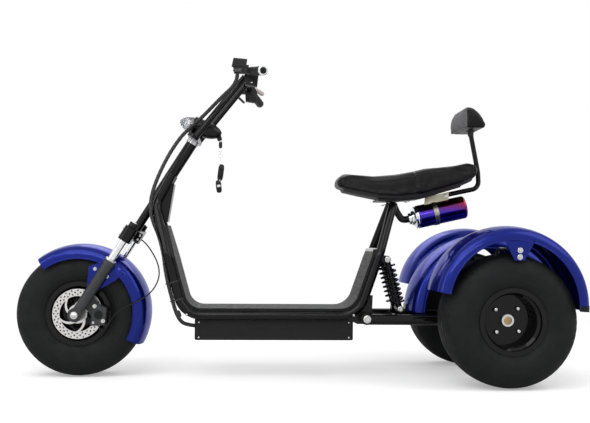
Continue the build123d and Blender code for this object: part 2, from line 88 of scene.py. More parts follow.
class PaintSettings(bpy.types.PropertyGroup):
    """Colours of the painted, plated and moulded pieces."""

    fender_blue: colour("Fender blue", "Base of the metallic blue paint", (0.0014, 0.0045, 0.070))
    fender_glow: colour("Fender flake", "Lighter flake in the blue paint", (0.0060, 0.0190, 0.26))
    frame_black: colour("Frame black", "Gloss paint of the frame and rims", (0.003, 0.003, 0.0035))
    fork_grey: colour("Fork grey", "Satin paint of the fork sliders", (0.030, 0.031, 0.034))
    rubber_black: colour("Tyre rubber", "Tyre and grip rubber", (0.0055, 0.0058, 0.0062))
    leather_black: colour("Seat cover", "Cover of the seat and backrest", (0.0030, 0.0030, 0.0033))
    plastic_black: colour("Black plastic", "Moulded housings", (0.0070, 0.0070, 0.0075))


class TyreSettings(bpy.types.PropertyGroup):
    """Tread and sidewall of the three tyres."""

    groove_depth: FloatProperty(name="Groove depth", description="Depth of the tread grooves",
                                default=0.0050, unit="LENGTH")
    groove_width: FloatProperty(name="Groove width", description="Half width of a tread groove",
                                default=0.0022, unit="LENGTH")
    sipes: IntProperty(name="Sipes", description="Slanted cuts around the tread", default=56)
    wall_ring: FloatProperty(name="Sidewall ring", description="Height of the sidewall rings",
                             default=0.0008, unit="LENGTH")


class StageSettings(bpy.types.PropertyGroup):
    """Camera, lamps and floor."""

    lens: FloatProperty(name="Lens", description="Focal length", default=52.39, unit="CAMERA")
    camera_behind: FloatProperty(name="Camera behind", default=0.6032, unit="LENGTH",
                                 description="Camera's distance behind the front axle")
    camera_out: FloatProperty(name="Camera out", default=3.2076, unit="LENGTH",
                              description="Camera's distance from the middle plane")
    camera_up: FloatProperty(name="Camera up", default=0.4885, unit="LENGTH",
                             description="Camera's height above the floor")
    camera_turn: FloatVectorProperty(name="Camera turn", description="Camera's rotation",
                                     default=(np.radians(92.067), np.radians(-0.462),
                                              np.radians(176.871)), subtype="EULER", size=3)
    key_power: FloatProperty(name="Key lamp", description="Power of the key lamp", default=46.0,
                             unit="POWER")
    strip_power: FloatProperty(name="Strip lamps", description="Power of the strip lamps",
                               default=16.0, unit="POWER")
    fill_power: FloatProperty(name="Fill lamp", description="Power of the fill lamp", default=22.0,
                              unit="POWER")
    sky: FloatProperty(name="Sky", description="Strength of the sky on dull surfaces", default=0.55)


# Meshes

def add_piece(name, body, verts, faces, material, smooth=True):
    """A mesh piece from arrays of points and faces, riding on a body."""
    mesh = bpy.data.meshes.new(name)
    mesh.from_pydata(np.asarray(verts, float).tolist(), [], np.asarray(faces).tolist())
    mesh.update()
    if smooth:
        mesh.polygons.foreach_set("use_smooth", np.ones(len(mesh.polygons), bool))
    piece = bpy.data.objects.new(name, mesh)
    bpy.context.scene.collection.objects.link(piece)
    piece.data.materials.append(material)
    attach(piece, body)
    return piece


def grid_faces(rows, cols, wrap_rows=False, wrap_cols=False):
    """Quads of a rows x cols grid of points, closed round where asked."""
    r = np.arange(rows if wrap_rows else rows - 1)
    c = np.arange(cols if wrap_cols else cols - 1)
    i, j = np.meshgrid(r, c, indexing="ij")
    i1 = (i + 1) % rows
    j1 = (j + 1) % cols
    quads = np.stack([i * cols + j, i1 * cols + j, i1 * cols + j1, i * cols + j1], -1)
    return quads.reshape(-1, 4)


def smooth_step(x, low, high):
    """0 below low, 1 above high, and a cubic ramp between."""
    t = np.clip((x - low) / (high - low), 0.0, 1.0)
    return t * t * (3 - 2 * t)


# Materials

class Finish:
    """A Principled material with helpers that chain procedural nodes."""

    def __init__(self, name, base, rough, metal=0.0, coat=0.0, coat_rough=0.05):
        self.material = bpy.data.materials.new(name)
        self.material.use_nodes = True
        self.nodes = self.material.node_tree.nodes
        self.links = self.material.node_tree.links
        self.shader = self.nodes["Principled BSDF"]
        self.set("Base Color", (*base, 1.0))
        self.set("Roughness", rough)
        self.set("Metallic", metal)
        self.set("Coat Weight", coat)
        self.set("Coat Roughness", coat_rough)
        self.bump_out = None

    def set(self, socket, value):
        self.shader.inputs[socket].default_value = value

    def node(self, kind, **values):
        node = self.nodes.new("ShaderNode" + kind)
        for key, value in values.items():
            if key in node.inputs.keys():
                node.inputs[key].default_value = value
            else:
                setattr(node, key, value)
        return node

    def place(self):
        """Object coordinates in metres."""
        return self.node("TexCoord").outputs["Object"]

    def noise(self, scale, detail=3.0, rough=0.5, stretch=None):
        """Fractal noise whose scale is in cells a metre, stretched along axes where asked."""
        where = self.place()
        if stretch:
            turn = self.node("Mapping")
            turn.inputs["Scale"].default_value = stretch
            self.links.new(where, turn.inputs["Vector"])
            where = turn.outputs["Vector"]
        noise = self.node("TexNoise", Scale=scale, Detail=detail, Roughness=rough)
        self.links.new(where, noise.inputs["Vector"])
        return noise.outputs["Fac"]

    def cells(self, scale, feature="F1"):
        """Voronoi cells, in cells a metre."""
        cells = self.node("TexVoronoi", Scale=scale, feature=feature)
        self.links.new(self.place(), cells.inputs["Vector"])
        return cells.outputs["Distance"]

    def span(self, value, low, high, to_low, to_high):
        """Carries a value from one range to another."""
        span = self.node("MapRange")
        for key, number in (("From Min", low), ("From Max", high), ("To Min", to_low),
                            ("To Max", to_high)):
            span.inputs[key].default_value = number
        self.links.new(value, span.inputs["Value"])
        return span.outputs["Result"]

    def tint(self, factor, first, second):
        """Base colour between two colours."""
        mix = self.node("Mix", data_type="RGBA")
        mix.inputs[6].default_value = (*first, 1.0)
        mix.inputs[7].default_value = (*second, 1.0)
        self.links.new(factor, mix.inputs[0])
        self.links.new(mix.outputs[2], self.shader.inputs["Base Color"])
        return self

    def tint_noise(self, scale, share):
        """Small changes of the base colour."""
        base = tuple(self.shader.inputs["Base Color"].default_value)[:3]
        return self.tint(self.noise(scale), dark(base, share), base)

    def rough(self, factor, low, high):
        """Roughness between two values."""
        self.links.new(self.span(factor, 0.3, 0.7, low, high), self.shader.inputs["Roughness"])
        return self

    def bump(self, height, distance, strength=1.0):
        """Adds a bump whose full height is distance, on top of any earlier one."""
        bump = self.node("Bump", Strength=strength, Distance=distance)
        self.links.new(height, bump.inputs["Height"])
        if self.bump_out:
            self.links.new(self.bump_out, bump.inputs["Normal"])
        self.bump_out = bump.outputs["Normal"]
        self.links.new(self.bump_out, self.shader.inputs["Normal"])
        return self


def braided(name, base):
    """Woven nylon sleeve: fine crossing threads, with lighter flecks that are painted glints on the
    strands.
    """
    made = Finish(name, base, 0.5)
    painted_glints = made.span(made.cells(420), 0.05, 0.30, 1.0, 0.0)
    # light grey spots at the cell middles: painted glints on the black sleeve
    made.tint(painted_glints, base, (0.16, 0.16, 0.17))
    made.rough(made.noise(80), 0.42, 0.6)
    made.bump(made.cells(1100), 0.0002, 0.6)
    return made.material


def lit_panel_cloth(name, base):
    """Coarse cloth texture: crossing threads from two waves, in a light grey that is painted light on the
    backrest's front.
    """
    made = Finish(name, base, 0.7)
    made.set("Specular IOR Level", 0.2)
    made.tint(made.cells(700), dark(base, 0.6), dark(base, 1.5))
    made.rough(made.noise(60), 0.62, 0.8)
    made.bump(made.cells(900), 0.0003, 0.6)
    return made.material


def dark(base, share):
    return tuple(channel * share for channel in base)


def gloss_paint(name, base):
    """Gloss paint with a faint orange peel and small changes of shine."""
    made = Finish(name, base, 0.26, coat=0.38, coat_rough=0.03)
    made.set("Specular IOR Level", 0.03)
    made.tint(made.noise(9), dark(base, 0.75), dark(base, 1.3))
    made.rough(made.noise(26), 0.20, 0.34)
    made.bump(made.noise(260), 0.00012, 0.35)
    return made.material


def flake_paint(name, base, glow):
    """Metallic paint: fine flakes under a clear coat."""
    made = Finish(name, base, 0.30, metal=0.75, coat=0.32, coat_rough=0.02)
    made.set("Specular IOR Level", 0.08)
    made.set("Specular Tint", (0.35, 0.4, 1.0, 1.0))
    flakes = made.span(made.cells(1500), 0.1, 0.9, 0.0, 1.0)
    made.tint(flakes, base, glow)
    made.rough(made.noise(60), 0.28, 0.40)
    made.bump(made.noise(190), 0.0001, 0.25)
    return made.material


def satin_paint(name, base, rough=0.38):
    """Satin paint or powder coat with a fine texture."""
    made = Finish(name, base, rough)
    made.set("Specular IOR Level", 0.3)
    made.tint(made.noise(14), dark(base, 0.7), dark(base, 1.35))
    made.rough(made.noise(40), rough - 0.08, rough + 0.1)
    made.bump(made.noise(1400, 2.0), 0.00015, 0.4)
    return made.material


def bright_metal(name, base, rough, grain):
    """Bare or plated metal with fine handling marks."""
    made = Finish(name, base, rough, metal=1.0)
    made.tint(made.noise(35), dark(base, 0.86), base)
    made.rough(made.noise(grain), rough * 0.8, rough * 1.4)
    made.bump(made.noise(grain * 6, 2.0), 0.00002, 0.12)
    return made.material


def turned_metal(name, base, rough, centre):
    """Metal ground in rings about a cross axis: noise along the distance from the centre."""
    made = Finish(name, base, rough, metal=1.0)
    shift = made.node("Mapping")
    shift.inputs["Location"].default_value = tuple(-c for c in centre)
    made.links.new(made.place(), shift.inputs["Vector"])
    flat = made.node("Mapping")
    flat.inputs["Scale"].default_value = (1.0, 0.0, 1.0)
    made.links.new(shift.outputs["Vector"], flat.inputs["Vector"])
    reach = made.node("VectorMath", operation="LENGTH")
    made.links.new(flat.outputs["Vector"], reach.inputs[0])
    rings = made.node("TexNoise", noise_dimensions="1D", Scale=2600.0, Detail=2.0)
    made.links.new(reach.outputs["Value"], rings.inputs["W"])
    made.tint(rings.outputs["Fac"], dark(base, 0.78), base)
    made.rough(rings.outputs["Fac"], rough * 0.8, rough * 1.5)
    made.bump(rings.outputs["Fac"], 0.00004, 0.3)
    return made.material


def rubber(name, base):
    """Moulded rubber: dull, a little dusty, with a fine pebble."""
    made = Finish(name, base, 0.62)
    made.set("Specular IOR Level", 0.17)
    made.tint(made.noise(18, 5.0), dark(base, 0.75), dark(base, 1.7))
    made.rough(made.noise(30), 0.52, 0.72)
    made.bump(made.noise(900, 2.0), 0.00022, 0.5)
    return made.material


def leather(name, base):
    """Coated fabric: a soft sheen over a cell grain."""
    made = Finish(name, base, 0.42)
    made.set("Specular IOR Level", 0.15)
    made.tint(made.noise(22, 4.0), dark(base, 0.85), dark(base, 1.3))
    made.rough(made.noise(48), 0.36, 0.48)
    made.bump(made.cells(620), 0.00022, 0.5)
    made.bump(made.noise(120), 0.0003, 0.3)
    return made.material


def moulded(name, base, rough=0.45):
    """Moulded plastic with a fine spark-eroded texture."""
    made = Finish(name, base, rough)
    made.set("Specular IOR Level", 0.22)
    made.tint(made.noise(12), dark(base, 0.8), dark(base, 1.25))
    made.rough(made.noise(70), rough - 0.07, rough + 0.09)
    made.bump(made.cells(1500), 0.00012, 0.5)
    return made.material


def heat_blue(name, low_z, high_z):
    """Heat-coloured steel: bands of blue, violet, magenta and gold up the height of the can."""
    made = Finish(name, (0.1, 0.02, 0.3), 0.16, metal=1.0, coat=0.5)
    split = made.node("SeparateXYZ")
    made.links.new(made.place(), split.inputs["Vector"])
    wave = made.noise(16)
    height = made.span(split.outputs["Z"], low_z, high_z, 0.0, 0.86)
    add = made.node("Math", operation="ADD")
    made.links.new(height, add.inputs[0])
    made.links.new(made.span(wave, 0.3, 0.7, -0.02, 0.12), add.inputs[1])
    ramp = made.node("ValToRGB")
    stops = [(0.0, (0.004, 0.004, 0.03)), (0.25, (0.01, 0.01, 0.28)), (0.45, (0.05, 0.015, 0.36)),
             (0.62, (0.16, 0.01, 0.13)), (0.76, (0.30, 0.02, 0.03)), (0.90, (0.20, 0.15, 0.02)),
             (1.0, (0.05, 0.10, 0.03))]
    while len(ramp.color_ramp.elements) < len(stops):
        ramp.color_ramp.elements.new(0.5)
    for element, (at, rgb) in zip(ramp.color_ramp.elements, stops):
        element.position = at
        element.color = (*rgb, 1.0)
    made.links.new(add.outputs[0], ramp.inputs["Fac"])
    made.links.new(ramp.outputs["Color"], made.shader.inputs["Base Color"])
    made.rough(made.noise(60), 0.12, 0.22)
    made.bump(made.noise(300), 0.00005, 0.3)
    return made.material


def clear_lens(name):
    """Clear moulded lens with faint flutes."""
    made = Finish(name, (0.95, 0.97, 1.0), 0.03)
    made.set("Transmission Weight", 0.9)
    made.set("IOR", 1.45)
    made.rough(made.noise(40), 0.02, 0.05)
    made.bump(made.noise(150), 0.0002, 0.2)
    return made.material


def tread_mat(name, base):
    """Rubber mat with rows of small raised squares."""
    made = Finish(name, base, 0.6)
    made.set("Specular IOR Level", 0.25)
    made.tint(made.noise(25), dark(base, 0.7), dark(base, 1.5))
    made.rough(made.noise(60), 0.48, 0.68)
    squares = made.node("TexVoronoi", Scale=140.0, Randomness=0.0, distance="CHEBYCHEV")
    made.links.new(made.place(), squares.inputs["Vector"])
    raised = made.span(squares.outputs["Distance"], 0.25, 0.4, 1.0, 0.0)
    made.bump(raised, 0.0012, 0.9)
    return made.material


class SCOOTER_OT_finishes(bpy.types.Operator):
    """Gives every carried-over CAD node its finish"""

    bl_idname = "scooter.finishes"
    bl_label = "Finishes of the CAD pieces"

    def execute(self, context):
        paint = context.scene.scooter_paint
        black = gloss_paint("frame_paint", paint.frame_black)
        blue = flake_paint("fender_paint", paint.fender_blue, paint.fender_glow)
        satin = satin_paint("fork_paint", paint.fork_grey)
        chrome = bright_metal("chrome_plate", (0.82, 0.83, 0.85), 0.10, 60)
        zinc = bright_metal("zinc_plate", (0.55, 0.55, 0.55), 0.28, 90)
        disc = turned_metal("ground_steel", (0.72, 0.71, 0.69), 0.25, FRONT_AXLE)
        tyre = rubber("tyre_rubber", paint.rubber_black)
        grip = rubber("grip_rubber", dark(paint.rubber_black, 0.8))
        cover = leather("seat_cover", paint.leather_black)
        # light grey for the backrest's front faces: painted light, not a different cover
        lit_panel_cloth("pad_front_painted_light", (0.10, 0.10, 0.105))
        plastic = moulded("black_plastic", paint.plastic_black)
        bright_metal("bolt_plate", (0.62, 0.62, 0.60), 0.22, 120)
        bright_metal("strap_plate", (0.42, 0.40, 0.30), 0.30, 60)
        bright_metal("bronze", (0.42, 0.30, 0.16), 0.35, 60)
        bright_metal("strip_metal", (0.50, 0.50, 0.50), 0.42, 70)
        moulded("lamp_black", dark(paint.plastic_black, 0.6), 0.22)
        moulded("throttle_grey", (0.46, 0.40, 0.40), 0.5)
        moulded("cable_jacket", dark(paint.plastic_black, 0.9), 0.38)
        braided("braided_sleeve", dark(paint.plastic_black, 0.9))
        tail = moulded("tail_red", (0.35, 0.008, 0.008), 0.12)
        tail.node_tree.nodes["Principled BSDF"].inputs["Coat Weight"].default_value = 0.6
        Finish("bulb_glass", (0.9, 0.9, 0.86), 0.08).tint_noise(30, 0.9)
        can_low, can_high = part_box("canister")
        by_node = {
            "front_rim": black, "front_tyre": tyre, "brake_disc": disc, "front_axle": zinc,
            "fork_sliders": satin, "fork_stanchions": chrome, "fork_clamp_and_stem": black,
            "front_fender": blue, "brake_caliper": satin, "top_yoke": black, "handlebar": black,
            "grips": grip, "brake_levers": plastic, "switch_pods": plastic,
            "headlight_lens": clear_lens("lens_clear"), "headlight_housing": plastic,
            "key_and_fob": plastic, "rear_tyre_left": tyre, "rear_tyre_right": tyre,
            "rear_rim_left": black, "rear_rim_right": black, "rear_hub_left": zinc,
            "rear_hub_right": zinc, "main_frame": black, "head_bearing": zinc,
            "deck_plate": black, "deck_mat": tread_mat("tread_mat", paint.rubber_black),
            "battery_box": moulded("box_plastic", paint.plastic_black, 0.55),
            "swing_arm": black, "suspension_bolts": zinc, "drive_motor": satin,
            "shock_dampers": black, "shock_springs": black, "rear_fenders": blue,
            "fender_stays": black, "centre_mudguard": blue, "seat_cushion": cover,
            "seat_pan": plastic, "backrest_post": black, "backrest_pad": cover,
            "canister": heat_blue("heat_blue", can_low[2], can_high[2]),
            "canister_fittings": chrome,
        }
        missing = sorted(set(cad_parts) - set(by_node))
        if missing:
            raise RuntimeError(f"no finish for {missing}")
        for name, material in by_node.items():
            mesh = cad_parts[name].data
            mesh.materials.clear()
            mesh.materials.append(material)
        return {"FINISHED"}


# Tyres

def tyre_profile():
    """Tyre outline from bead to bead as (across, radius): a half-round horseshoe."""
    outer = [(-0.83, 0.466), (-0.835, 0.50), (-0.90, 0.54), (-0.975, 0.62), (-1.0, 0.705),
             (-0.985, 0.79), (-0.93, 0.865), (-0.862, 0.915), (-0.80, 0.945), (-0.72, 0.967),
             (-0.58, 0.981), (-0.40, 0.991), (-0.20, 0.9975), (0.0, 1.0)]
    points = np.array(outer + [(-a, r) for a, r in reversed(outer[:-1])])
    steps = np.r_[0, np.cumsum(np.hypot(*np.diff(points * (TYRE_HALF, TYRE_R), axis=0).T))]
    fine = np.linspace(0, steps[-1], 170)
    smooth = [cubic_line(steps, points[:, k], fine) for k in (0, 1)]
    return np.stack(smooth, 1) * (TYRE_HALF, TYRE_R)


def cubic_line(x, y, where):
    """Smooth curve through points: cubic Hermite pieces with averaged slopes."""
    x = np.asarray(x, float)
    y = np.asarray(y, float)
    slope = np.gradient(y, x)
    k = np.clip(np.searchsorted(x, where) - 1, 0, len(x) - 2)
    h = x[k + 1] - x[k]
    t = (where - x[k]) / h
    a = 2 * t**3 - 3 * t**2 + 1
    b = t**3 - 2 * t**2 + t
    return a * y[k] + b * h * slope[k] + (1 - a) * y[k + 1] + (t**3 - t**2) * h * slope[k + 1]


def tyre_mesh(centre, settings, around=288):
    """Tyre as a surface of turn angle and place along the outline.

    The radius falls by the groove depth in each tread groove and in each slanted sipe, and rises in
    thin rings on the sidewalls. A second, inner outline closes the shell from bead to bead.
    """
    outline = tyre_profile()
    turn = np.linspace(0, 2 * np.pi, around, endpoint=False)
    across, radius = outline[:, 0], outline[:, 1]
    share = across / TYRE_HALF
    tangent = np.gradient(outline, axis=0)
    tangent /= np.linalg.norm(tangent, axis=1)[:, None]
    normal = np.stack([-tangent[:, 1], tangent[:, 0]], 1)
    normal *= np.sign((normal * (outline - (0, 0.70 * TYRE_R))).sum(1))[:, None]
    tread = radius > 0.905 * TYRE_R
    depth = np.zeros_like(radius)
    for middle_share in (-0.60, -0.36, -0.12, 0.12, 0.36, 0.60):
        gap = np.abs(share - middle_share) * TYRE_HALF / settings.groove_width
        depth = np.maximum(depth, settings.groove_depth * (1 - smooth_step(gap, 0.6, 1.6)))
    depth = depth * tread
    rings = np.zeros_like(radius)
    for ring in (0.53, 0.60, 0.74, 0.86):
        rings += settings.wall_ring * np.exp(-(((radius / TYRE_R) - ring) / 0.006) ** 2)
    offset = (rings * ~tread - depth)[None, :].repeat(around, 0)
    slant = turn[:, None] * settings.sipes / (2 * np.pi) + 0.55 * np.abs(share)[None, :]
    cut = 1 - smooth_step(np.abs(slant - np.round(slant)), 0.03, 0.10)
    edge = smooth_step(np.abs(share), 0.66, 0.70) * (1 - smooth_step(np.abs(share), 0.84, 0.88))
    offset = offset - 0.0022 * cut * edge[None, :] * tread[None, :]
    moved = outline[None, :, :] + offset[:, :, None] * normal[None, :, :]
    inside = outline[::-6] * (0.90, 1.0) - (0, 0.011)
    inside[:, 1] = np.maximum(inside[:, 1], 0.449 * TYRE_R)
    inner = np.broadcast_to(inside[None], (around, *inside.shape))
    whole = np.concatenate([moved, inner], 1)
    y = centre[1] + whole[:, :, 0]
    x = centre[0] + whole[:, :, 1] * np.cos(turn)[:, None]
    z = centre[2] + whole[:, :, 1] * np.sin(turn)[:, None]
    points = np.stack([x, y, z], -1)
    faces = grid_faces(around, whole.shape[1], True, True)
    return points.reshape(-1, 3), faces


class SCOOTER_OT_tyres(bpy.types.Operator):
    """Makes the three treaded tyres"""

    bl_idname = "scooter.tyres"
    bl_label = "Tyres"

    def execute(self, context):
        settings = context.scene.scooter_tyres
        material = bpy.data.materials["tyre_rubber"]
        wheels = [("front_tyre", "front_wheel", FRONT_AXLE)]
        wheels += [(f"rear_tyre_{side}", f"rear_wheel_{side}", REAR_AXLES[side])
                   for side in ("left", "right")]
        for node, body, centre in wheels:
            points, faces = tyre_mesh(centre, settings)
            piece = add_piece(node + "_treaded", body, points, faces, material)
            face_outwards(piece)
            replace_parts(piece, node)
        return {"FINISHED"}


def face_outwards(piece):
    """Turns all faces of a closed piece outwards."""
    work = bmesh.new()
    work.from_mesh(piece.data)
    bmesh.ops.recalc_face_normals(work, faces=work.faces)
    work.to_mesh(piece.data)
    work.free()


# Turned and swept forms

RAKE = np.radians(32.0)


def spot(behind, across, up):
    """A place in metres from millimetres: behind the front axle, to the left, above the floor."""
    return np.array((FRONT_AXLE[0] - behind / 1000, across / 1000, up / 1000))


def on_steering(along, across, ahead):
    """A place in millimetres along the steering axis, to the left of it and ahead of it."""
    return spot(along * np.sin(RAKE) - ahead * np.cos(RAKE), across,
                FRONT_AXLE[2] * 1000 + along * np.cos(RAKE) + ahead * np.sin(RAKE))


def turned(rows, base, axis, around=24):
    """A form turned about an axis.

    Each row is (height, radius, sixness). At a turn a the radius is multiplied by
    1 + sixness * (cos(30 deg) / cos(a folded into one sixth) - 1), so sixness 1 is a hexagon.
    """
    rows = np.asarray([(*row, 0.0)[:3] for row in rows], float) / (1000, 1000, 1)
    axis = np.asarray(axis, float) / np.linalg.norm(axis)
    side = np.cross(axis, (0.0, 0.0, 1.0) if abs(axis[2]) < 0.9 else (1.0, 0.0, 0.0))
    side /= np.linalg.norm(side)
    third = np.cross(axis, side)
    turn = np.linspace(0, 2 * np.pi, around, endpoint=False)
    six = np.cos(np.pi / 6) / np.cos(turn % (np.pi / 3) - np.pi / 6) - 1
    reach = rows[:, 1:2] * (1 + rows[:, 2:3] * six[None, :])
    spoke = np.cos(turn)[:, None] * side + np.sin(turn)[:, None] * third
    points = np.asarray(base) + rows[:, 0][:, None, None] * axis + reach[:, :, None] * spoke[None]
    return points.reshape(-1, 3), grid_faces(len(rows), around, False, True)


def mirrored(points):
    """The same points on the other side of the middle plane."""
    return points * (1.0, -1.0, 1.0)


def joined(parts):
    """One array of points and one of faces from several, the face numbers moved on."""
    points, faces, count = [], [], 0
    for some_points, some_faces in parts:
        points.append(np.asarray(some_points).reshape(-1, 3))
        faces.append(np.asarray(some_faces) + count)
        count += len(points[-1])
    return np.concatenate(points), np.concatenate(faces)


def closed_piece(name, body, parts, material, smooth_angle=40):
    """A piece from several closed forms: poles merged, faces outwards, sharp edges kept sharp."""
    points, faces = joined(parts)
    piece = add_piece(name, body, points, faces, material)
    work = bmesh.new()
    work.from_mesh(piece.data)
    bmesh.ops.remove_doubles(work, verts=work.verts, dist=1e-6)
    bmesh.ops.dissolve_degenerate(work, edges=work.edges, dist=1e-7)
    bmesh.ops.recalc_face_normals(work, faces=work.faces)
    limit = np.radians(smooth_angle)
    for edge in work.edges:
        if len(edge.link_faces) == 2 and edge.calc_face_angle(0.0) > limit:
            edge.smooth = False
    work.to_mesh(piece.data)
    work.free()
    return piece


def route_line(places):
    """Points of a smooth NURBS line through a route's control points, as an array."""
    curve = bpy.data.curves.new("route", "CURVE")
    curve.dimensions = "3D"
    curve.resolution_u = 14
    spline = curve.splines.new("NURBS")
    spline.points.add(len(places) - 1)
    spline.points.foreach_set("co", np.c_[np.array(places), np.ones(len(places))].ravel())
    spline.order_u = 3
    spline.use_endpoint_u = True
    holder = bpy.data.objects.new("route", curve)
    mesh = bpy.data.meshes.new_from_object(holder)
    line = np.empty(len(mesh.vertices) * 3)
    mesh.vertices.foreach_get("co", line)
    bpy.data.objects.remove(holder)
    bpy.data.meshes.remove(mesh)
    bpy.data.curves.remove(curve)
    return line.reshape(-1, 3)


def even_line(line, step):
    """The same line with evenly spaced points."""
    reach = np.r_[0, np.cumsum(np.linalg.norm(np.diff(line, axis=0), axis=1))]
    where = np.linspace(0, reach[-1], max(4, int(reach[-1] / step)))
    return np.stack([np.interp(where, reach, line[:, k]) for k in range(3)], 1), where


def swept(line, radius, around=16, braid=0.0, pitch=0.012):
    """A round hose along a line, closed at both ends.

    The frame is carried along by projecting the last side vector off each tangent. A braid adds
    braid * max(sin(6a + 2 pi s / pitch), sin(6a - 2 pi s / pitch)) to the radius, with s the way
    along the line and a the turn: two crossing sets of strands.
    """
    line, along = even_line(np.asarray(line), 0.0022 if braid else 0.004)
    tangent = np.gradient(line, axis=0)
    tangent /= np.linalg.norm(tangent, axis=1)[:, None]
    side = np.empty_like(tangent)
    last = np.cross(tangent[0], (0.31, 0.92, 0.22))
    for k, ahead in enumerate(tangent):
        last = last - ahead * (last @ ahead)
        last /= np.linalg.norm(last)
        side[k] = last
    third = np.cross(tangent, side)
    turn = np.linspace(0, 2 * np.pi, around, endpoint=False)
    wave = 2 * np.pi * along[:, None] / pitch
    weave = np.maximum(np.sin(6 * turn + wave), np.sin(6 * turn - wave))
    reach = radius + braid * weave
    points = line[:, None] + reach[:, :, None] * (
        np.cos(turn)[None, :, None] * side[:, None] + np.sin(turn)[None, :, None] * third[:, None])
    ends = [np.repeat(line[k][None, None], around, 1) for k in (0, -1)]
    points = np.concatenate([ends[0], points, ends[1]], 0)
    return points.reshape(-1, 3), grid_faces(len(points), around, False, True)


# Bolts, nuts and small trim

HEX = [(0, 0), (0, 1.42), (0.16, 1.45), (0.22, 1.38), (0.22, 0.97, 1), (0.84, 0.97, 1),
       (1.0, 0.84, 0.5), (1.0, 0.5), (0.95, 0)]
DOME = [(0, 0), (0, 1.0), (0.30, 1.0), (0.72, 0.84), (1.0, 0.52), (1.0, 0.46, 1), (0.45, 0.42, 1),
        (0.45, 0)]
ACORN = [(0, 0), (0, 1.1), (0.12, 1.15), (0.16, 1.0, 1), (0.55, 1.0, 1), (0.62, 0.8), (0.85, 0.62),
         (1.0, 0.25), (1.0, 0)]


def fastener(form, radius, height, place, axis):
    """A bolt head or nut: the form's rows times its height and radius."""
    rows = [(row[0] * height, row[1] * radius, *row[2:]) for row in form]
    return turned(rows, place, axis)


def both_sides(parts):
    return parts + [(mirrored(points), faces) for points, faces in parts]


def steering_fasteners():
    left = (0, 1, 0)
    up = on_steering(1, 0, 0) - on_steering(0, 0, 0)
    ahead = on_steering(0, 0, 1) - on_steering(0, 0, 0)
    pairs = [
        fastener(ACORN, 11, 11, spot(0, 172.2, 228.5), left),
        fastener(HEX, 4.6, 4.5, spot(62, 121.4, 389.2), left),
        fastener(HEX, 4.6, 4.5, spot(103.9, 121.4, 362.3), left),
        fastener(DOME, 10, 5, on_steering(381, 142, 0), up),
        fastener(DOME, 5, 5, on_steering(348, 142, 22.5), ahead),
        fastener(DOME, 5, 5, on_steering(322, 142, 22.5), ahead),
        fastener(DOME, 3, 2, spot(584, 202, 1128.6), (0, 0, 1)),
        fastener(DOME, 3, 2, spot(556, 216, 1131.0), (0, 0, 1)),
        fastener(DOME, 3.2, 2, spot(610, 190, 1052), left),
    ]
    single = [
        fastener(HEX, 5, 5, spot(64, 132, 258), left),
        fastener(HEX, 5, 5, spot(94, 132, 206), left),
        fastener(DOME, 5, 3.5, spot(60, 132, 200), left),
        fastener(DOME, 5, 4, on_steering(334, 77.2, -32), left),
        fastener(DOME, 5, 4, on_steering(350, 77.2, -32), left),
    ]
    return both_sides(pairs) + single


def frame_fasteners():
    left = (0, 1, 0)
    pairs = [
        fastener(HEX, 9.5, 7, spot(1028, 171.3, 218), left),
        fastener(DOME, 4.6, 3.5, spot(388, 130.5, 229), left),
        fastener(DOME, 4.6, 3.5, spot(985, 130.5, 229), left),
        fastener(HEX, 7.5, 5, spot(1115, 82, 429), left),
        fastener(HEX, 7.5, 5, spot(1163, 82, 247), left),
        fastener(HEX, 6.4, 5, spot(1507, 397.9, 468), left),
        fastener(HEX, 6.4, 5, spot(1506, 397.9, 446), left),
        fastener(HEX, 5, 4, spot(1112, 30, 633.1), (0, 0, -1)),
        fastener(HEX, 5, 4, spot(1200, 30, 647.2), (0, 0, -1)),
    ]
    pairs += [fastener(DOME, 3.4, 2.5, spot(behind, 100, up), left)
              for behind in (430, 971) for up in (146, 200)]
    pairs += [fastener(HEX, 6, 4.5, spot(1490 + 38 * np.cos(a), 250, 228.5 + 38 * np.sin(a)), left)
              for a in np.radians((45, 135, 225, 315))]
    single = [fastener(HEX, 5.5, 4, spot(1345, 18, 668), left)]
    return both_sides(pairs) + single


def wheel_fasteners():
    """Disc bolts on the front wheel, and four domed heads and a ring on each rear hub."""
    disc = [fastener(DOME, 4.2, 3, spot(26 * np.cos(a), 104, 228.5 + 26 * np.sin(a)), (0, 1, 0))
            for a in np.radians(np.arange(5) * 72 + 36)]
    hubs = {}
    for side, name in ((1, "left"), (-1, "right")):
        middle_y = REAR_AXLES[name][1] * 1000
        turns = np.radians(np.arange(4) * 90 + 43)
        heads = [fastener(DOME, 8.2, 5, spot(1490 - 55 * np.cos(a), middle_y + side * 19,
                                             228.5 + 55 * np.sin(a)), (0, side, 0)) for a in turns]
        heads.append(turned([(0, 13.2), (0, 22), (2, 22.6), (4, 21), (4, 14), (2, 13.2), (0, 13.2)],
                            spot(1490, middle_y + side * 21, 228.5), (0, side, 0), 36))
        hubs[f"rear_wheel_{name}"] = heads
    return disc, hubs


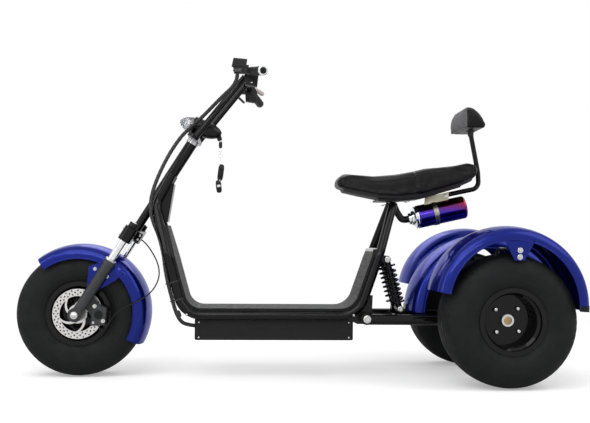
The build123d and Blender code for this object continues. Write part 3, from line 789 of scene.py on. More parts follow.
class SCOOTER_OT_fasteners(bpy.types.Operator):
    """Makes the bolt heads and nuts, the caliper's piston and the rear shaft tips"""

    bl_idname = "scooter.fasteners"
    bl_label = "Bolts and nuts"

    def execute(self, context):
        bright = bpy.data.materials["bolt_plate"]
        closed_piece("steering_bolts", "steering", steering_fasteners(), bright)
        closed_piece("frame_bolts", "frame", frame_fasteners(), bright)
        disc, hubs = wheel_fasteners()
        closed_piece("disc_bolts", "front_wheel", disc, bright)
        piston = [(0, 0), (0, 15), (2.5, 14.6), (3, 12), (4, 11.6), (4, 5, 1), (2, 5, 1), (2, 0)]
        closed_piece("caliper_piston", "steering", [turned(piston, spot(78, 132, 228), (0, 1, 0), 36)],
                     bpy.data.materials["lamp_black"])
        for side, name in ((1, "left"), (-1, "right")):
            tip = turned([(0, 0), (0, 13), (1.6, 13), (2.4, 11.5), (2.4, 5), (0.6, 4.6), (0.6, 0)],
                         REAR_AXLES[name] + (0, side * 0.022, 0), (0, side, 0), 36)
            closed_piece(f"shaft_tip_{name}", f"rear_wheel_{name}", [tip],
                         bpy.data.materials["bronze"])
        for body, heads in hubs.items():
            closed_piece(body.replace("wheel", "hub") + "_bolts", body, heads, bright)
        return {"FINISHED"}


def bracket_plate(outline, across, thick):
    """A flat plate from a side outline of (behind, up): a fan over both faces and a rim between."""
    ring = np.array([spot(behind, 0, up) for behind, up in outline])
    centre = ring.mean(0)
    inner, outer = ring.copy(), ring.copy()
    inner[:, 1] = across / 1000
    outer[:, 1] = (across + thick) / 1000
    mid = [np.repeat([(centre[0], y / 1000, centre[2])], len(ring), 0)
           for y in (across, across + thick)]
    lift = centre + (outer - centre) * (0.985, 1, 0.985)
    lift[:, 1] = outer[:, 1]
    rows = np.stack([mid[0], inner, outer - (0, 0.0004, 0), lift, mid[1]])
    return rows.reshape(-1, 3), grid_faces(5, len(ring), False, True)


def fender_line(half, depth, crown, bow=15.0, corner=34.0, out=0.0):
    """A fender's outer line as (across, radius): side, round corner and bowed crown, moved out."""
    bow_r = (half * half + bow * bow) / (2 * bow)
    middle_r = crown - bow_r
    corner_y = half - corner
    corner_r = middle_r + np.sqrt((bow_r - corner)**2 - corner_y**2)
    lean = np.arctan2(corner_y, corner_r - middle_r)
    round_part = np.linspace(np.pi / 2, lean, 9)
    crown_part = np.linspace(lean, 0, 12)[1:]
    rows = [(half + out, crown - depth)]
    rows += [(corner_y + (corner + out) * np.sin(a), corner_r + (corner + out) * np.cos(a))
             for a in round_part]
    rows += [((bow_r + out) * np.sin(a), middle_r + (bow_r + out) * np.cos(a)) for a in crown_part]
    rows += [(-y, r) for y, r in reversed(rows[:-1])]
    return np.array(rows) / 1000


def end_trim(half, depth, crown, centre, turns):
    """Rubber edging on a fender's end: an outer and an inner line, swept over a few degrees."""
    outer = fender_line(half, depth, crown, out=1.6)
    inner = fender_line(half, depth, crown, out=-4.2)[::-1]
    loop = np.concatenate([outer, inner])
    a = np.radians(np.linspace(*turns, 5))
    ring = np.stack([
        centre[0] + loop[None, :, 1] * np.cos(a)[:, None],
        np.broadcast_to(centre[1] + loop[None, :, 0], (len(a), len(loop))),
        centre[2] + loop[None, :, 1] * np.sin(a)[:, None]], -1)
    middle_loop = (loop + loop[::-1]) / 2
    caps = []
    for k in (0, -1):
        caps.append(np.stack([centre[0] + middle_loop[:, 1] * np.cos(a[k]),
                              centre[1] + middle_loop[:, 0],
                              centre[2] + middle_loop[:, 1] * np.sin(a[k])], -1)[None])
    rows = np.concatenate([caps[0], ring, caps[1]])
    return rows.reshape(-1, 3), grid_faces(len(rows), len(loop), False, True)


def fender_form(half, depth, crown, centre, start, sweep):
    """The shell's rings with both ends closed across the sheet's thickness."""
    outer = fender_line(half, depth, crown)
    inner = fender_line(half, depth, crown, out=-2.6)
    a = np.radians(np.linspace(start, start + sweep, int(sweep / 1.6)))
    middle_line = (outer + inner) / 2

    def swing(line, turns):
        return np.stack([centre[0] + line[None, :, 1] * np.cos(turns)[:, None],
                         np.broadcast_to(centre[1] + line[None, :, 0], (len(turns), len(line))),
                         centre[2] + line[None, :, 1] * np.sin(turns)[:, None]], -1)

    loop = np.concatenate([outer, inner[::-1]])
    cap = np.concatenate([middle_line, middle_line[::-1]])
    rings = np.concatenate([swing(cap, a[:1]), swing(loop, a), swing(cap, a[-1:])])
    body = rings.reshape(-1, 3), grid_faces(len(rings), len(loop), False, True)
    beads = []
    for side in (1, -1):
        turn = np.linspace(0, 2 * np.pi, 14, endpoint=False)
        ring = np.stack([side * (half - 1.5) + 3.1 * np.cos(turn), crown - depth + 3.1 * np.sin(turn)],
                        1) / 1000
        centre_ring = np.repeat(ring.mean(0)[None], 14, 0)
        rows = np.concatenate([swing(centre_ring, a[:1]), swing(ring, a), swing(centre_ring, a[-1:])])
        beads.append((rows.reshape(-1, 3), grid_faces(len(rows), 14, False, True)))
    return [body, *beads]


class SCOOTER_OT_fenders(bpy.types.Operator):
    """Makes the three fenders and the middle mudguard from thin sheet, and the tail lamp"""

    bl_idname = "scooter.fenders"
    bl_label = "Fenders"

    def execute(self, context):
        blue = bpy.data.materials["fender_paint"]
        axle = FRONT_AXLE
        plate = bracket_plate([(40, 398), (34, 330), (66, 309), (131, 346), (162, 372), (150, 392),
                               (120, 405), (80, 412)], 114.4, 6.2)
        bosses = [turned([(0, 0), (0, 7), (5, 7), (5, 0)], on_steering(s, 117.6, 0), (0, 1, 0))
                  for s in (150, 186)]
        front = fender_form(116, 52, 250, axle, 53, 154) + both_sides([plate, *bosses])
        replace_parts(closed_piece("front_fender_shell", "steering", front, blue, 30),
                    "front_fender")
        rear_axle = np.array((axle[0] - 1.490, 0, axle[2]))
        arch = rear_axle + (0, 0.288, 0.055)
        lug = bracket_plate([(1456, 500), (1558, 500), (1522, 434), (1488, 434)], 395.4, 2.6)
        rear = fender_form(110, 48, 268, arch, 10, 174) + [lug]
        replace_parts(closed_piece("rear_fender_shells", "frame", both_sides(rear), blue,
                                 30), "rear_fenders")
        middle_guard = fender_form(112, 50, 295, rear_axle, 2, 150)
        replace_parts(closed_piece("middle_guard_shell", "frame", middle_guard, blue, 30),
                    "centre_mudguard")
        turn = np.radians(118)
        out = np.array((np.cos(turn), 0, np.sin(turn)))
        along = np.array((-np.sin(turn), 0, np.cos(turn)))
        around = np.linspace(0, 2 * np.pi, 64, endpoint=False)
        wide = np.sign(np.cos(around)) * np.abs(np.cos(around))**0.45
        tall = np.sign(np.sin(around)) * np.abs(np.sin(around))**0.45
        rows = [(-6, 0), (-6, 1), (8, 1.0), (13, 0.96), (16.5, 0.86), (18, 0.7), (18, 0)]
        lamp = np.stack([rear_axle + (0.295 + h / 1000) * out
                         + 0.017 * k * tall[:, None] * along
                         + 0.042 * k * wide[:, None] * np.array((0, 1, 0)) for h, k in rows])
        closed_piece("tail_lamp", "frame", [(lamp.reshape(-1, 3),
                                             grid_faces(len(rows), 64, False, True))],
                     bpy.data.materials["tail_red"])
        return {"FINISHED"}


def clamp_block():
    """Hose block behind the clamp: a rounded box section along the axis, power 5."""
    turn = np.linspace(0, 2 * np.pi, 48, endpoint=False)
    wide = np.sign(np.cos(turn)) * np.abs(np.cos(turn))**0.4
    deep = np.sign(np.sin(turn)) * np.abs(np.sin(turn))**0.4
    rows = [(325, 0), (325, 0.93), (327, 1), (357, 1), (359, 0.93), (359, 0)]
    ahead = on_steering(0, 0, 1) - on_steering(0, 0, 0)
    rings = np.stack([on_steering(s, 62, -31) + k * (0.015 * wide[:, None] * np.array((0, 1, 0))
                                                     + 9 * deep[:, None] * ahead)
                      for s, k in rows])
    return rings.reshape(-1, 3), grid_faces(len(rows), 48, False, True)


def cut_sheet(outlines, thick):
    """A flat sheet with holes: closed outlines of (x, y) in metres filled and given a thickness."""
    curve = bpy.data.curves.new("sheet", "CURVE")
    curve.dimensions = "2D"
    curve.fill_mode = "BOTH"
    curve.extrude = thick / 2
    for outline in outlines:
        spline = curve.splines.new("POLY")
        spline.points.add(len(outline) - 1)
        rows = np.c_[outline, np.zeros(len(outline)), np.ones(len(outline))]
        spline.points.foreach_set("co", rows.ravel())
        spline.use_cyclic_u = True
    holder = bpy.data.objects.new("sheet", curve)
    mesh = bpy.data.meshes.new_from_object(holder)
    points = coordinates(mesh)
    faces = [tuple(face.vertices) for face in mesh.polygons]
    bpy.data.objects.remove(holder)
    bpy.data.meshes.remove(mesh)
    bpy.data.curves.remove(curve)
    return points, faces


def circle(radius, middle=(0, 0), count=24):
    """Points round a circle in the sheet's plane."""
    turn = np.linspace(0, 2 * np.pi, count, endpoint=False)
    return np.stack([middle[0] + radius * np.cos(turn), middle[1] + radius * np.sin(turn)], 1)


def disc_outlines():
    """Brake disc: three rows of vents and five windows whose sides lean with the radius."""
    outlines = [circle(0.089, count=96), circle(0.0185, count=40)]
    for radius, hole, shift in ((0.0835, 0.0028, 0), (0.0765, 0.0031, 7.5), (0.0695, 0.0028, 0)):
        turns = np.radians(np.arange(24) * 15 + shift)
        outlines += [circle(hole, (radius * np.cos(a), radius * np.sin(a)), 12) for a in turns]
    reach = np.linspace(0.034, 0.0635, 9)
    lean = 0.75 * (reach - 0.034) / 0.0295
    gap = 0.0062 / reach
    for k in range(5):
        first = np.radians(72 * k + 10) + lean + gap
        last = np.radians(72 * k + 82) + lean - gap
        turns = np.concatenate([first, np.linspace(first[-1], last[-1], 8)[1:-1], last[::-1],
                                np.linspace(last[0], first[0], 6)[1:-1]])
        radii = np.concatenate([reach, np.full(6, reach[-1]), reach[::-1], np.full(4, reach[0])])
        outlines.append(np.stack([radii * np.cos(turns), radii * np.sin(turns)], 1))
    return outlines


# Brake disc, canister and key

class SCOOTER_OT_wheel_parts(bpy.types.Operator):
    """Makes the brake disc and the dark cover behind the front rim's web"""

    bl_idname = "scooter.wheel_parts"
    bl_label = "Brake disc and cover"

    def execute(self, context):
        flat, faces = cut_sheet(disc_outlines(), 0.0038)
        points = FRONT_AXLE + np.stack([flat[:, 0], flat[:, 2] + 0.102, flat[:, 1]], 1)
        mesh_faces = [tuple(reversed(face)) for face in faces]
        disc = add_listed("brake_disc_cut", "front_wheel", points, mesh_faces,
                          bpy.data.materials["ground_steel"])
        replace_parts(disc, "brake_disc")
        cover = [(-17, 30.4), (-17, 92), (-15.5, 92), (-15.5, 30.4), (-17, 30.4)]
        closed_piece("rim_cover", "front_wheel", [turned(cover, FRONT_AXLE, (0, 1, 0), 72)],
                     bpy.data.materials["frame_paint"])
        return {"FINISHED"}


def add_listed(name, body, points, faces, material):
    """A mesh piece from points and faces of any number of corners."""
    mesh = bpy.data.meshes.new(name)
    mesh.from_pydata(points.tolist(), [], faces)
    mesh.update()
    work = bmesh.new()
    work.from_mesh(mesh)
    bmesh.ops.remove_doubles(work, verts=work.verts, dist=1e-6)
    bmesh.ops.recalc_face_normals(work, faces=work.faces)
    work.to_mesh(mesh)
    work.free()
    piece = bpy.data.objects.new(name, mesh)
    bpy.context.scene.collection.objects.link(piece)
    mesh.materials.append(material)
    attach(piece, body)
    return piece


class SCOOTER_OT_canister(bpy.types.Operator):
    """Makes the heat-coloured can, its ringed cap, its elbow and its strap"""

    bl_idname = "scooter.canister"
    bl_label = "Canister"

    def execute(self, context):
        materials = bpy.data.materials
        front, back = spot(1240, 0, 588), spot(1421, 0, 629)
        run = back - front
        can = turned([(0, 0), (0, 40.5), (3, 42.6), (6, 43), (176, 43), (180, 42.6), (184, 40), (185.6, 36),
                      (183, 33), (183, 0)], front, run, 96)
        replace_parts(closed_piece("canister_can", "frame", [can], materials["heat_blue"]),
                    "canister")
        cap = [(0.3, 0), (0.3, 43.5), (-2, 44), (-4, 43), (-5, 40), (-8, 40), (-9, 42), (-12, 42),
               (-13, 39), (-15, 30), (-17, 28), (-24, 26), (-26, 22), (-34, 21), (-36, 19), (-36, 0)]
        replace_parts(closed_piece("canister_cap", "frame", [turned(cap, front, run, 72)],
                                 materials["chrome_plate"]), "canister_fittings")
        unit = run / np.linalg.norm(run)
        bend = route_line([front - 0.034 * unit, front - 0.058 * unit, spot(1172, 0, 590),
                           spot(1158, 0, 612), spot(1150, 0, 634)])
        closed_piece("canister_elbow", "frame", [swept(bend, 0.013, 28)], materials["lamp_black"])
        strap = bracket_plate([(1262, 628), (1354, 648), (1356, 684), (1266, 662)], 12.0, 5.5)
        band = [(-2, 43.4), (-2, 45.2), (16, 45.2), (16, 43.4), (-2, 43.4)]
        closed_piece("canister_strap", "frame", [strap, turned(band, front + 0.06 * unit, run, 72)],
                     materials["strap_plate"])
        return {"FINISHED"}


def pebble(middle, sizes, lean=0.0, power=0.55, rows=17, around=40):
    """A superellipsoid: half sizes times powers of sines and cosines, leaned in the side view."""
    up = np.linspace(-np.pi / 2, np.pi / 2, rows)[:, None]
    turn = np.linspace(0, 2 * np.pi, around, endpoint=False)[None, :]

    def bent(value, exponent):
        return np.sign(value) * np.abs(value)**exponent

    x = sizes[0] * bent(np.cos(up), power) * bent(np.cos(turn), power)
    y = sizes[1] * bent(np.cos(up), power) * bent(np.sin(turn), power)
    z = sizes[2] * bent(np.sin(up), power) * np.ones_like(turn)
    x, z = x * np.cos(lean) - z * np.sin(lean), x * np.sin(lean) + z * np.cos(lean)
    points = np.stack([x, y, z], -1) / 1000 + middle
    return points.reshape(-1, 3), grid_faces(rows, around, False, True)


def link_ring(middle, reach, wire, facing):
    """A chain link: a torus of 28 by 10 points, facing along X or Y."""
    turn = np.linspace(0, 2 * np.pi, 28, endpoint=False)[:, None]
    small = np.linspace(0, 2 * np.pi, 10, endpoint=False)[None, :]
    wide = (reach + wire * np.cos(small)) * np.cos(turn)
    tall = (reach + wire * np.cos(small)) * np.sin(turn)
    deep = wire * np.sin(small) + 0 * turn
    order = [wide, deep, tall] if facing == "Y" else [deep, wide, tall]
    points = np.stack(order, -1) / 1000 + middle
    return points.reshape(-1, 3), grid_faces(28, 10, True, True)


class SCOOTER_OT_key(bpy.types.Operator):
    """Makes the ignition key with its links and two fobs"""

    bl_idname = "scooter.key"
    bl_label = "Key and fobs"

    def execute(self, context):
        materials = bpy.data.materials
        dark_parts = [pebble(spot(497, 0, 851), (6.5, 2.6, 13)),
                      pebble(spot(499, 0, 747), (11, 6, 31), 0.12),
                      pebble(spot(492, 0, 695), (10.5, 5, 24), -0.12)]
        key = closed_piece("key_and_fobs", "steering", dark_parts, materials["lamp_black"])
        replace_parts(key, "key_and_fob")
        blade = turned([(0, 0), (0, 2.4), (8, 2.4), (8, 0)], spot(496, 0, 860), (0, 0, 1), 16)
        rings = [link_ring(spot(497, 0, z), 6.6, 1.1, facing)
                 for z, facing in ((832, "Y"), (821, "X"), (810, "Y"), (799, "X"), (787, "Y"))]
        rings.append(link_ring(spot(496, 0, 717), 6.0, 1.1, "X"))
        band = turned([(-4, 9.5), (-4, 11.4), (4, 11.4), (4, 9.5), (-4, 9.5)],
                      spot(492, 0, 697), (0.12, 0, 1), 40)
        points, faces = band
        points = (points - spot(492, 0, 697)) * (1, 0.5, 1) + spot(492, 0, 697)
        closed_piece("key_rings", "steering", [blade, *rings, (points, faces)],
                     materials["chrome_plate"])
        return {"FINISHED"}


class SCOOTER_OT_trim(bpy.types.Operator):
    """Makes the fork caps and seals, fender edging, mat end strip, bar ends and throttle"""

    bl_idname = "scooter.trim"
    bl_label = "Trim"

    def execute(self, context):
        materials = bpy.data.materials
        up = on_steering(1, 0, 0) - on_steering(0, 0, 0)
        caps = [turned([(0, 0), (0, 15.2), (2, 16), (16, 16), (19, 14), (19, 0)],
                       on_steering(362, 142, 0), up, 40)]
        seals = [turned([(0, 14), (0, 20), (3, 21), (7, 20.4), (9, 16), (9, 14), (0, 14)],
                        on_steering(222.5, 142, 0), up, 40)]
        closed_piece("fork_caps", "steering", both_sides(caps) + [clamp_block()],
                     materials["lamp_black"])
        closed_piece("fork_seals", "steering", both_sides(seals), materials["zinc_plate"])
        edging = []
        arch = FRONT_AXLE + (-1.490, 0.2880, 0.055)
        edging.append(end_trim(110, 48, 268, arch, (180.0, 184.6)))
        closed_piece("fender_edging", "frame", both_sides(edging), materials["grip_rubber"])
        strip = bracket_plate([(1056.5, 458), (1071, 463), (1073, 470), (1058, 468)], -96.0, 192.0)
        closed_piece("mat_end_strip", "frame", [strip], materials["strip_metal"])
        bar_in, bar_out = spot(606, 200, 1088), spot(646, 345, 1064)
        run = bar_out - bar_in
        tip = bar_in + run * 1.02
        ring = [(-3, 12), (-3, 16.4), (0, 17.2), (4, 16.8), (6, 14.5), (6, 11.5), (4, 11), (-3, 12)]
        ends = both_sides([turned(ring, tip, run, 36)])
        plugs = both_sides([turned([(-2, 0), (-2, 11.4), (5, 11.4), (7, 9), (8, 0)], tip, run, 32)])
        closed_piece("bar_plugs", "steering", plugs, materials["grip_rubber"])
        collar = turned([(0, 11.2), (0, 15.5), (5, 15.5), (5, 11.2), (0, 11.2)],
                        bar_in + run * 0.185, run, 36)
        closed_piece("bar_ends", "steering", ends + both_sides([collar]), materials["chrome_plate"])
        thumb = turned([(0, 0), (0, 7), (8, 8.5), (26, 9.5), (36, 8), (40, 4), (40.5, 0)],
                       spot(626, -206, 1098), (-0.84, 0, -0.54), 28)
        closed_piece("thumb_throttle", "steering", [thumb], materials["throttle_grey"])
        return {"FINISHED"}


# Headlight

class SCOOTER_OT_headlight(bpy.types.Operator):
    """Makes the headlight's housing, lens, reflector, bulb and rim"""

    bl_idname = "scooter.headlight"
    bl_label = "Headlight"

    def execute(self, context):
        tilt = np.radians(18)
        lamp = spot(421, 0, 914)
        look = np.array((np.cos(tilt), 0, np.sin(tilt)))
        egg = np.linspace(-1, 0.3, 26)
        shell = [(-82, 0), (-82, 9)] + [(-6 + 75 * t, 33.5 * np.sqrt(1 - 0.93 * t * t)) for t in egg]
        shell += [(20, 33.4), (24, 33.8), (24, 30.8), (21, 30.4), (21, 0)]
        lens_line = np.array([(24, 30.6), (36, 30.0), (48, 27.4), (60, 22.4), (70, 15.6), (77, 8),
                              (80, 0)])
        wall = [(a - 2.2, max(r - 2.2, 0)) for a, r in lens_line[::-1]]
        bowl = [(21.5, 0), (21.5, 6), (25, 14), (31, 21.5), (38, 26.0), (38, 25.2), (32, 20.6),
                (26, 13), (22.7, 5), (22.7, 0)]
        bulb = [(22, 0), (22, 4.2), (30, 4.2), (34, 6.4), (40, 7.2), (45, 5.8), (48, 2.6), (48.6, 0)]
        rim = [(17, 33.4), (17, 35.0), (21, 35.6), (27, 35.0), (28, 33.0), (28, 30.8), (24, 30.9)]
        foot = on_steering(763, 0, 0)
        stalk = swept(np.array([foot, foot * 0.5 + lamp * 0.5 + (0.004, 0, 0), lamp - 0.02 * look]),
                      0.0085)
        lock = turned([(0, 0), (0, 9), (26, 9), (28, 7.5), (28, 0)], spot(487, 0, 893),
                      spot(495, 0, 866) - spot(487, 0, 893), 36)
        materials = bpy.data.materials
        housing = closed_piece("lamp_housing", "steering", [turned(shell, lamp, look, 72), stalk, lock],
                               materials["lamp_black"])
        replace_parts(housing, "headlight_housing")
        lens = closed_piece("lamp_lens", "steering", [turned([*lens_line, *wall], lamp, look, 72)],
                            materials["lens_clear"])
        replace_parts(lens, "headlight_lens")
        closed_piece("lamp_reflector", "steering", [turned(bowl, lamp, look, 48)],
                     materials["chrome_plate"])
        closed_piece("lamp_bulb", "steering", [turned(bulb, lamp, look, 28)],
                     materials["bulb_glass"])
        closed_piece("lamp_rim", "steering", [turned(rim + [rim[0]], lamp, look, 72)],
                     materials["lamp_black"])
        return {"FINISHED"}


# Cables

LOOM_ROUTE = [(560, 206, 1077.6), (559, 205, 1046), (504, 144, 1006), (444, 88, 953),
              (394, 56, 910), (356, 44, 879), (309, 48, 806), (272, 54, 726), (249, 56, 656),
              (246, 54, 600), (258, 58, 556), (280, 63, 508), (300, 87, 440), (306, 99, 396),
              (318.3, 113.7, 341.7), (335.8, 114.4, 279.4), (349, 115, 234), (366, 106, 202),
              (388, 92, 190), (418, 86, 186)]
HOSE_ROUTE = [(216, 62, 494), (232, 62, 484), (262, 61, 440), (279, 62, 404), (285, 70, 363),
              (271, 92, 322), (244, 114, 292), (212, 126, 274), (166, 127, 254), (130, 127, 226),
              (112, 127, 190), (97, 126, 172), (82, 120, 170), (78, 118, 187.5)]


class SCOOTER_OT_cables(bpy.types.Operator):
    """Makes the braided loom across the steering joint, its gland and ties, and the brake hose"""

    bl_idname = "scooter.cables"
    bl_label = "Cables"

    def execute(self, context):
        braid = bpy.data.materials["braided_sleeve"]
        line = route_line([spot(*place) for place in LOOM_ROUTE])
        loom = closed_piece("cable_loom", "frame", [swept(line, 0.0062, 24, 0.0009, 0.020)], braid,
                            60)
        loom.parent = None
        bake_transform(loom)
        hose = swept(route_line([spot(*place) for place in HOSE_ROUTE]), 0.0024)
        closed_piece("brake_hose", "steering", [hose], bpy.data.materials["cable_jacket"])
        glands = [turned([(-2, 0), (-2, 9), (3, 10.5), (14, 10.5), (16, 9), (22, 8.2), (22, 0)],
                         spot(352, 115, 238), spot(362, 113, 219) - spot(352, 115, 238), 28)]
        closed_piece("loom_gland", "frame", glands, bpy.data.materials["black_plastic"])
        ties = []
        for behind, across, up, near in ((318.3, 113.7, 341.7, (342.5, 113.7, 341.7)),
                                         (335.8, 114.4, 279.4, (360, 114.4, 279.4))):
            place = (spot(behind, across, up) + spot(*near)) / 2
            along = spot(375, 115, 226) - spot(325, 113, 404)
            ties.append(tie_ring(place, along, spot(*near) - spot(behind, across, up)))
        closed_piece("loom_ties", "frame", ties, bpy.data.materials["black_plastic"])
        return {"FINISHED"}


def tie_ring(place, along, across):
    """A flat band round a tube and the loom in front of it: an oval ring 4 mm wide."""
    along = along / np.linalg.norm(along)
    across = across - along * (across @ along)
    across /= np.linalg.norm(across)
    third = np.cross(along, across)
    turn = np.linspace(0, 2 * np.pi, 48, endpoint=False)
    shift = 0.004 + 0.0245 * np.cos(turn)
    wide = np.where(np.cos(turn) > 0, 0.0172, 0.0172 + 0.0085 * np.cos(turn))
    rows = []
    for grow, move in ((0, -0.002), (0.0012, -0.002), (0.0012, 0.002), (0, 0.002), (0, -0.002)):
        rows.append(place + (shift + grow * np.cos(turn))[:, None] * across
                    + ((wide + grow) * np.sin(turn))[:, None] * third + move * along)
    rows = np.stack(rows)
    return rows.reshape(-1, 3), grid_faces(5, 48, False, True)


# Seat and backrest

SEAT_TOP = np.array([(926, 724), (944, 744), (987, 739), (1067, 733), (1147, 740), (1207, 751),
                     (1255, 763), (1308, 768), (1368, 775), (1437, 791), (1446, 791)])
SEAT_LOW = np.array([(926, 702), (957, 690), (1015, 678), (1092, 664), (1154, 662), (1243, 671),
                     (1387, 714), (1432, 735), (1446, 760)])
SEAT_WIDE = np.array([(926, 66), (950, 80), (1040, 103), (1140, 122), (1240, 131), (1360, 131),
                      (1446, 121)])
SEAM_AT = 1209.0
PAD_MIDDLE = np.array((1428, 916))
PAD_HALF = 107
CLOTH_FRAMES = 20


def seat_rings(rows, low_lift, top_drop, narrow, start, end, ends_r, crown):
    """Closed rings along a seat: a rounded box section of power 5 between two lines.

    Towards each end the section shrinks by ends_r * (1 - sqrt(1 - (1 - d / ends_r)^2)), d being the
    way to the end, and the top is crowned by crown * (1 - (across / half width)^2).
    """
    behind = np.linspace(start, end, rows)
    near_end = np.clip(np.minimum(behind - start, end - behind) / ends_r, 0, 1)
    shrink = ends_r * (1 - np.sqrt(np.clip(1 - (1 - near_end)**2, 0, 1)))
    top = np.interp(behind, *SEAT_TOP.T) - top_drop - shrink
    low = np.interp(behind, *SEAT_LOW.T) - low_lift + shrink
    top = np.maximum(top, low + 1)
    half = np.maximum(np.interp(behind, *SEAT_WIDE.T) - narrow - shrink, 2)
    turn = np.linspace(0, 2 * np.pi, 88, endpoint=False)
    c, s = np.cos(turn), np.sin(turn)
    wide = np.sign(c) * np.abs(c)**0.4
    tall = np.sign(s) * np.abs(s)**0.4
    across = half[:, None] * wide[None, :]
    up = (top + low)[:, None] / 2 + (top - low)[:, None] / 2 * tall[None, :]
    up = up - crown * wide[None, :]**2 * np.clip(tall, 0, 1)[None, :]
    rings = np.stack([np.repeat(behind[:, None], len(turn), 1), across, up], -1)
    caps = [np.repeat(ring.mean(0)[None], len(turn), 0)[None] for ring in (rings[0], rings[-1])]
    rings = np.concatenate([caps[0], rings, caps[1]])
    places = np.stack([FRONT_AXLE[0] - rings[..., 0] / 1000, rings[..., 1] / 1000,
                       rings[..., 2] / 1000], -1)
    return places.reshape(-1, 3), grid_faces(rows + 2, len(turn), False, True)


def pad_rings():
    """Backrest pad as side outlines across its width, lower towards both ends like a rounded top."""
    side = np.array([(1391, 917), (1389, 948), (1391, 976), (1400, 992), (1415, 999), (1434, 995),
                     (1451, 980), (1464, 959), (1474, 933), (1468, 917), (1441, 916), (1416, 916)])
    across = np.linspace(-PAD_HALF, PAD_HALF, 50)
    far = np.clip(np.abs(across) - 56, 0, 51) / 56
    tall = 1 - 0.6 * (1 - np.sqrt(1 - far**2))
    near_end = np.clip((PAD_HALF - np.abs(across)) / 7, 0, 1)
    shrink = 1 - 0.16 * (1 - np.sqrt(1 - (1 - near_end)**2))
    rings = PAD_MIDDLE + (side[None] - PAD_MIDDLE) * np.stack([shrink, tall * shrink], -1)[:, None]
    places = np.stack([FRONT_AXLE[0] - rings[..., 0] / 1000,
                       np.repeat(across[:, None], len(side), 1) / 1000, rings[..., 1] / 1000], -1)
    caps = [np.repeat(places[k].mean(0)[None], len(side), 0)[None] for k in (0, -1)]
    places = np.concatenate([caps[0], places, caps[1]])
    return places.reshape(-1, 3), grid_faces(len(places), len(side), False, True)


def coordinates(mesh):
    co = np.empty(len(mesh.vertices) * 3)
    mesh.vertices.foreach_get("co", co)
    return co.reshape(-1, 3)


def evaluated_mesh(piece):
    graph = bpy.context.evaluated_depsgraph_get()
    return bpy.data.meshes.new_from_object(piece.evaluated_get(graph))


def puffed(piece, voxel, cap, held):
    """Swells a closed form with cloth under pressure, each point moved by at most cap.

    held is a function of the points that says which of them stay, where the pad lies on its base.
    """
    remesh = piece.modifiers.new("even", "REMESH")
    remesh.mode = "VOXEL"
    remesh.voxel_size = voxel
    mesh = evaluated_mesh(piece)
    piece.modifiers.clear()
    piece.data = mesh
    rest = coordinates(mesh)
    group = piece.vertex_groups.new(name="held")
    group.add([int(k) for k in np.flatnonzero(held(rest))], 1.0, "ADD")
    cloth = piece.modifiers.new("swell", "CLOTH")
    cloth.settings.quality = 6
    cloth.settings.use_pressure = True
    cloth.settings.uniform_pressure_force = 4.0
    cloth.settings.vertex_group_mass = "held"
    cloth.settings.effector_weights.gravity = 0.0
    cloth.collision_settings.use_collision = False
    cloth.point_cache.frame_start = 1
    cloth.point_cache.frame_end = CLOTH_FRAMES
    scene = bpy.context.scene
    for step in range(1, CLOTH_FRAMES + 1):
        scene.frame_set(step)
    swollen = evaluated_mesh(piece)
    move = coordinates(swollen) - rest
    piece.modifiers.clear()
    piece.vertex_groups.clear()
    scene.frame_set(1)
    bpy.data.meshes.remove(swollen)
    far = np.linalg.norm(move, axis=1)[:, None]
    rest = rest + move * np.minimum(1.0, cap / np.maximum(far, 1e-9))
    mesh.vertices.foreach_set("co", rest.ravel())
    mesh.update()
    finer = piece.modifiers.new("finer", "SUBSURF")
    finer.levels = finer.render_levels = 1
    piece.data = evaluated_mesh(piece)
    piece.modifiers.clear()
    return piece


def pressed_in(piece, depth_of):
    """Moves points inwards along their normals by depth_of(points, normals)."""
    mesh = piece.data
    points = coordinates(mesh)
    normals = np.empty(len(points) * 3)
    mesh.vertices.foreach_get("normal", normals)
    normals = normals.reshape(-1, 3)
    points = points - normals * depth_of(points, normals)[:, None]
    mesh.vertices.foreach_set("co", points.ravel())
    mesh.update()
    mesh.polygons.foreach_set("use_smooth", np.ones(len(mesh.polygons), bool))


def groove(distance, width, depth):
    return depth * np.exp(-(distance / width)**2)


def seat_seams(points, normals):
    """A sewn groove across the seat, one round its upper edge, and soft folds beside the cross seam."""
    behind = (FRONT_AXLE[0] - points[:, 0]) * 1000
    across = np.abs(points[:, 1]) * 1000
    up = points[:, 2] * 1000
    half = np.interp(behind, *SEAT_WIDE.T)
    top = np.interp(behind, *SEAT_TOP.T)
    upper = smooth_step(normals[:, 2], -0.5, 0.1)
    cross = groove(behind - SEAM_AT - 3 * np.sin(across / 30), 3.2, 0.0042) * upper
    edge = groove(up - (top - 21), 2.4, 0.0020) * smooth_step(across / half, 0.72, 0.9)
    fold = 0.0016 * np.sin((behind - SEAM_AT) / 7.5 + across / 40)
    fold = fold * np.exp(-((behind - SEAM_AT) / 34)**2) * smooth_step(across / half, 0.5, 0.9)
    return cross + edge + fold * upper


def pad_seams(points, normals):
    """A seam round the pad's front panel, where its front turns into the top and ends."""
    behind = (FRONT_AXLE[0] - points[:, 0]) * 1000
    return groove(behind - 1404, 2.2, 0.0022) * smooth_step(np.abs(normals[:, 0]), 0.95, 0.75)


def lit_front_faces(pad):
    """Gives the faces ahead of the pad's seam a lighter grey cloth: painted light standing in for light
    falling on the pad's front.
    """
    mesh = pad.data
    mesh.materials.append(bpy.data.materials["pad_front_painted_light"])
    centres = np.empty(len(mesh.polygons) * 3)
    mesh.polygons.foreach_get("center", centres)
    behind = (FRONT_AXLE[0] - centres.reshape(-1, 3)[:, 0]) * 1000
    up = centres.reshape(-1, 3)[:, 2]
    mesh.polygons.foreach_set("material_index", ((behind < 1403.5) & (up > 0.918)).astype(np.int32))
    mesh.update()


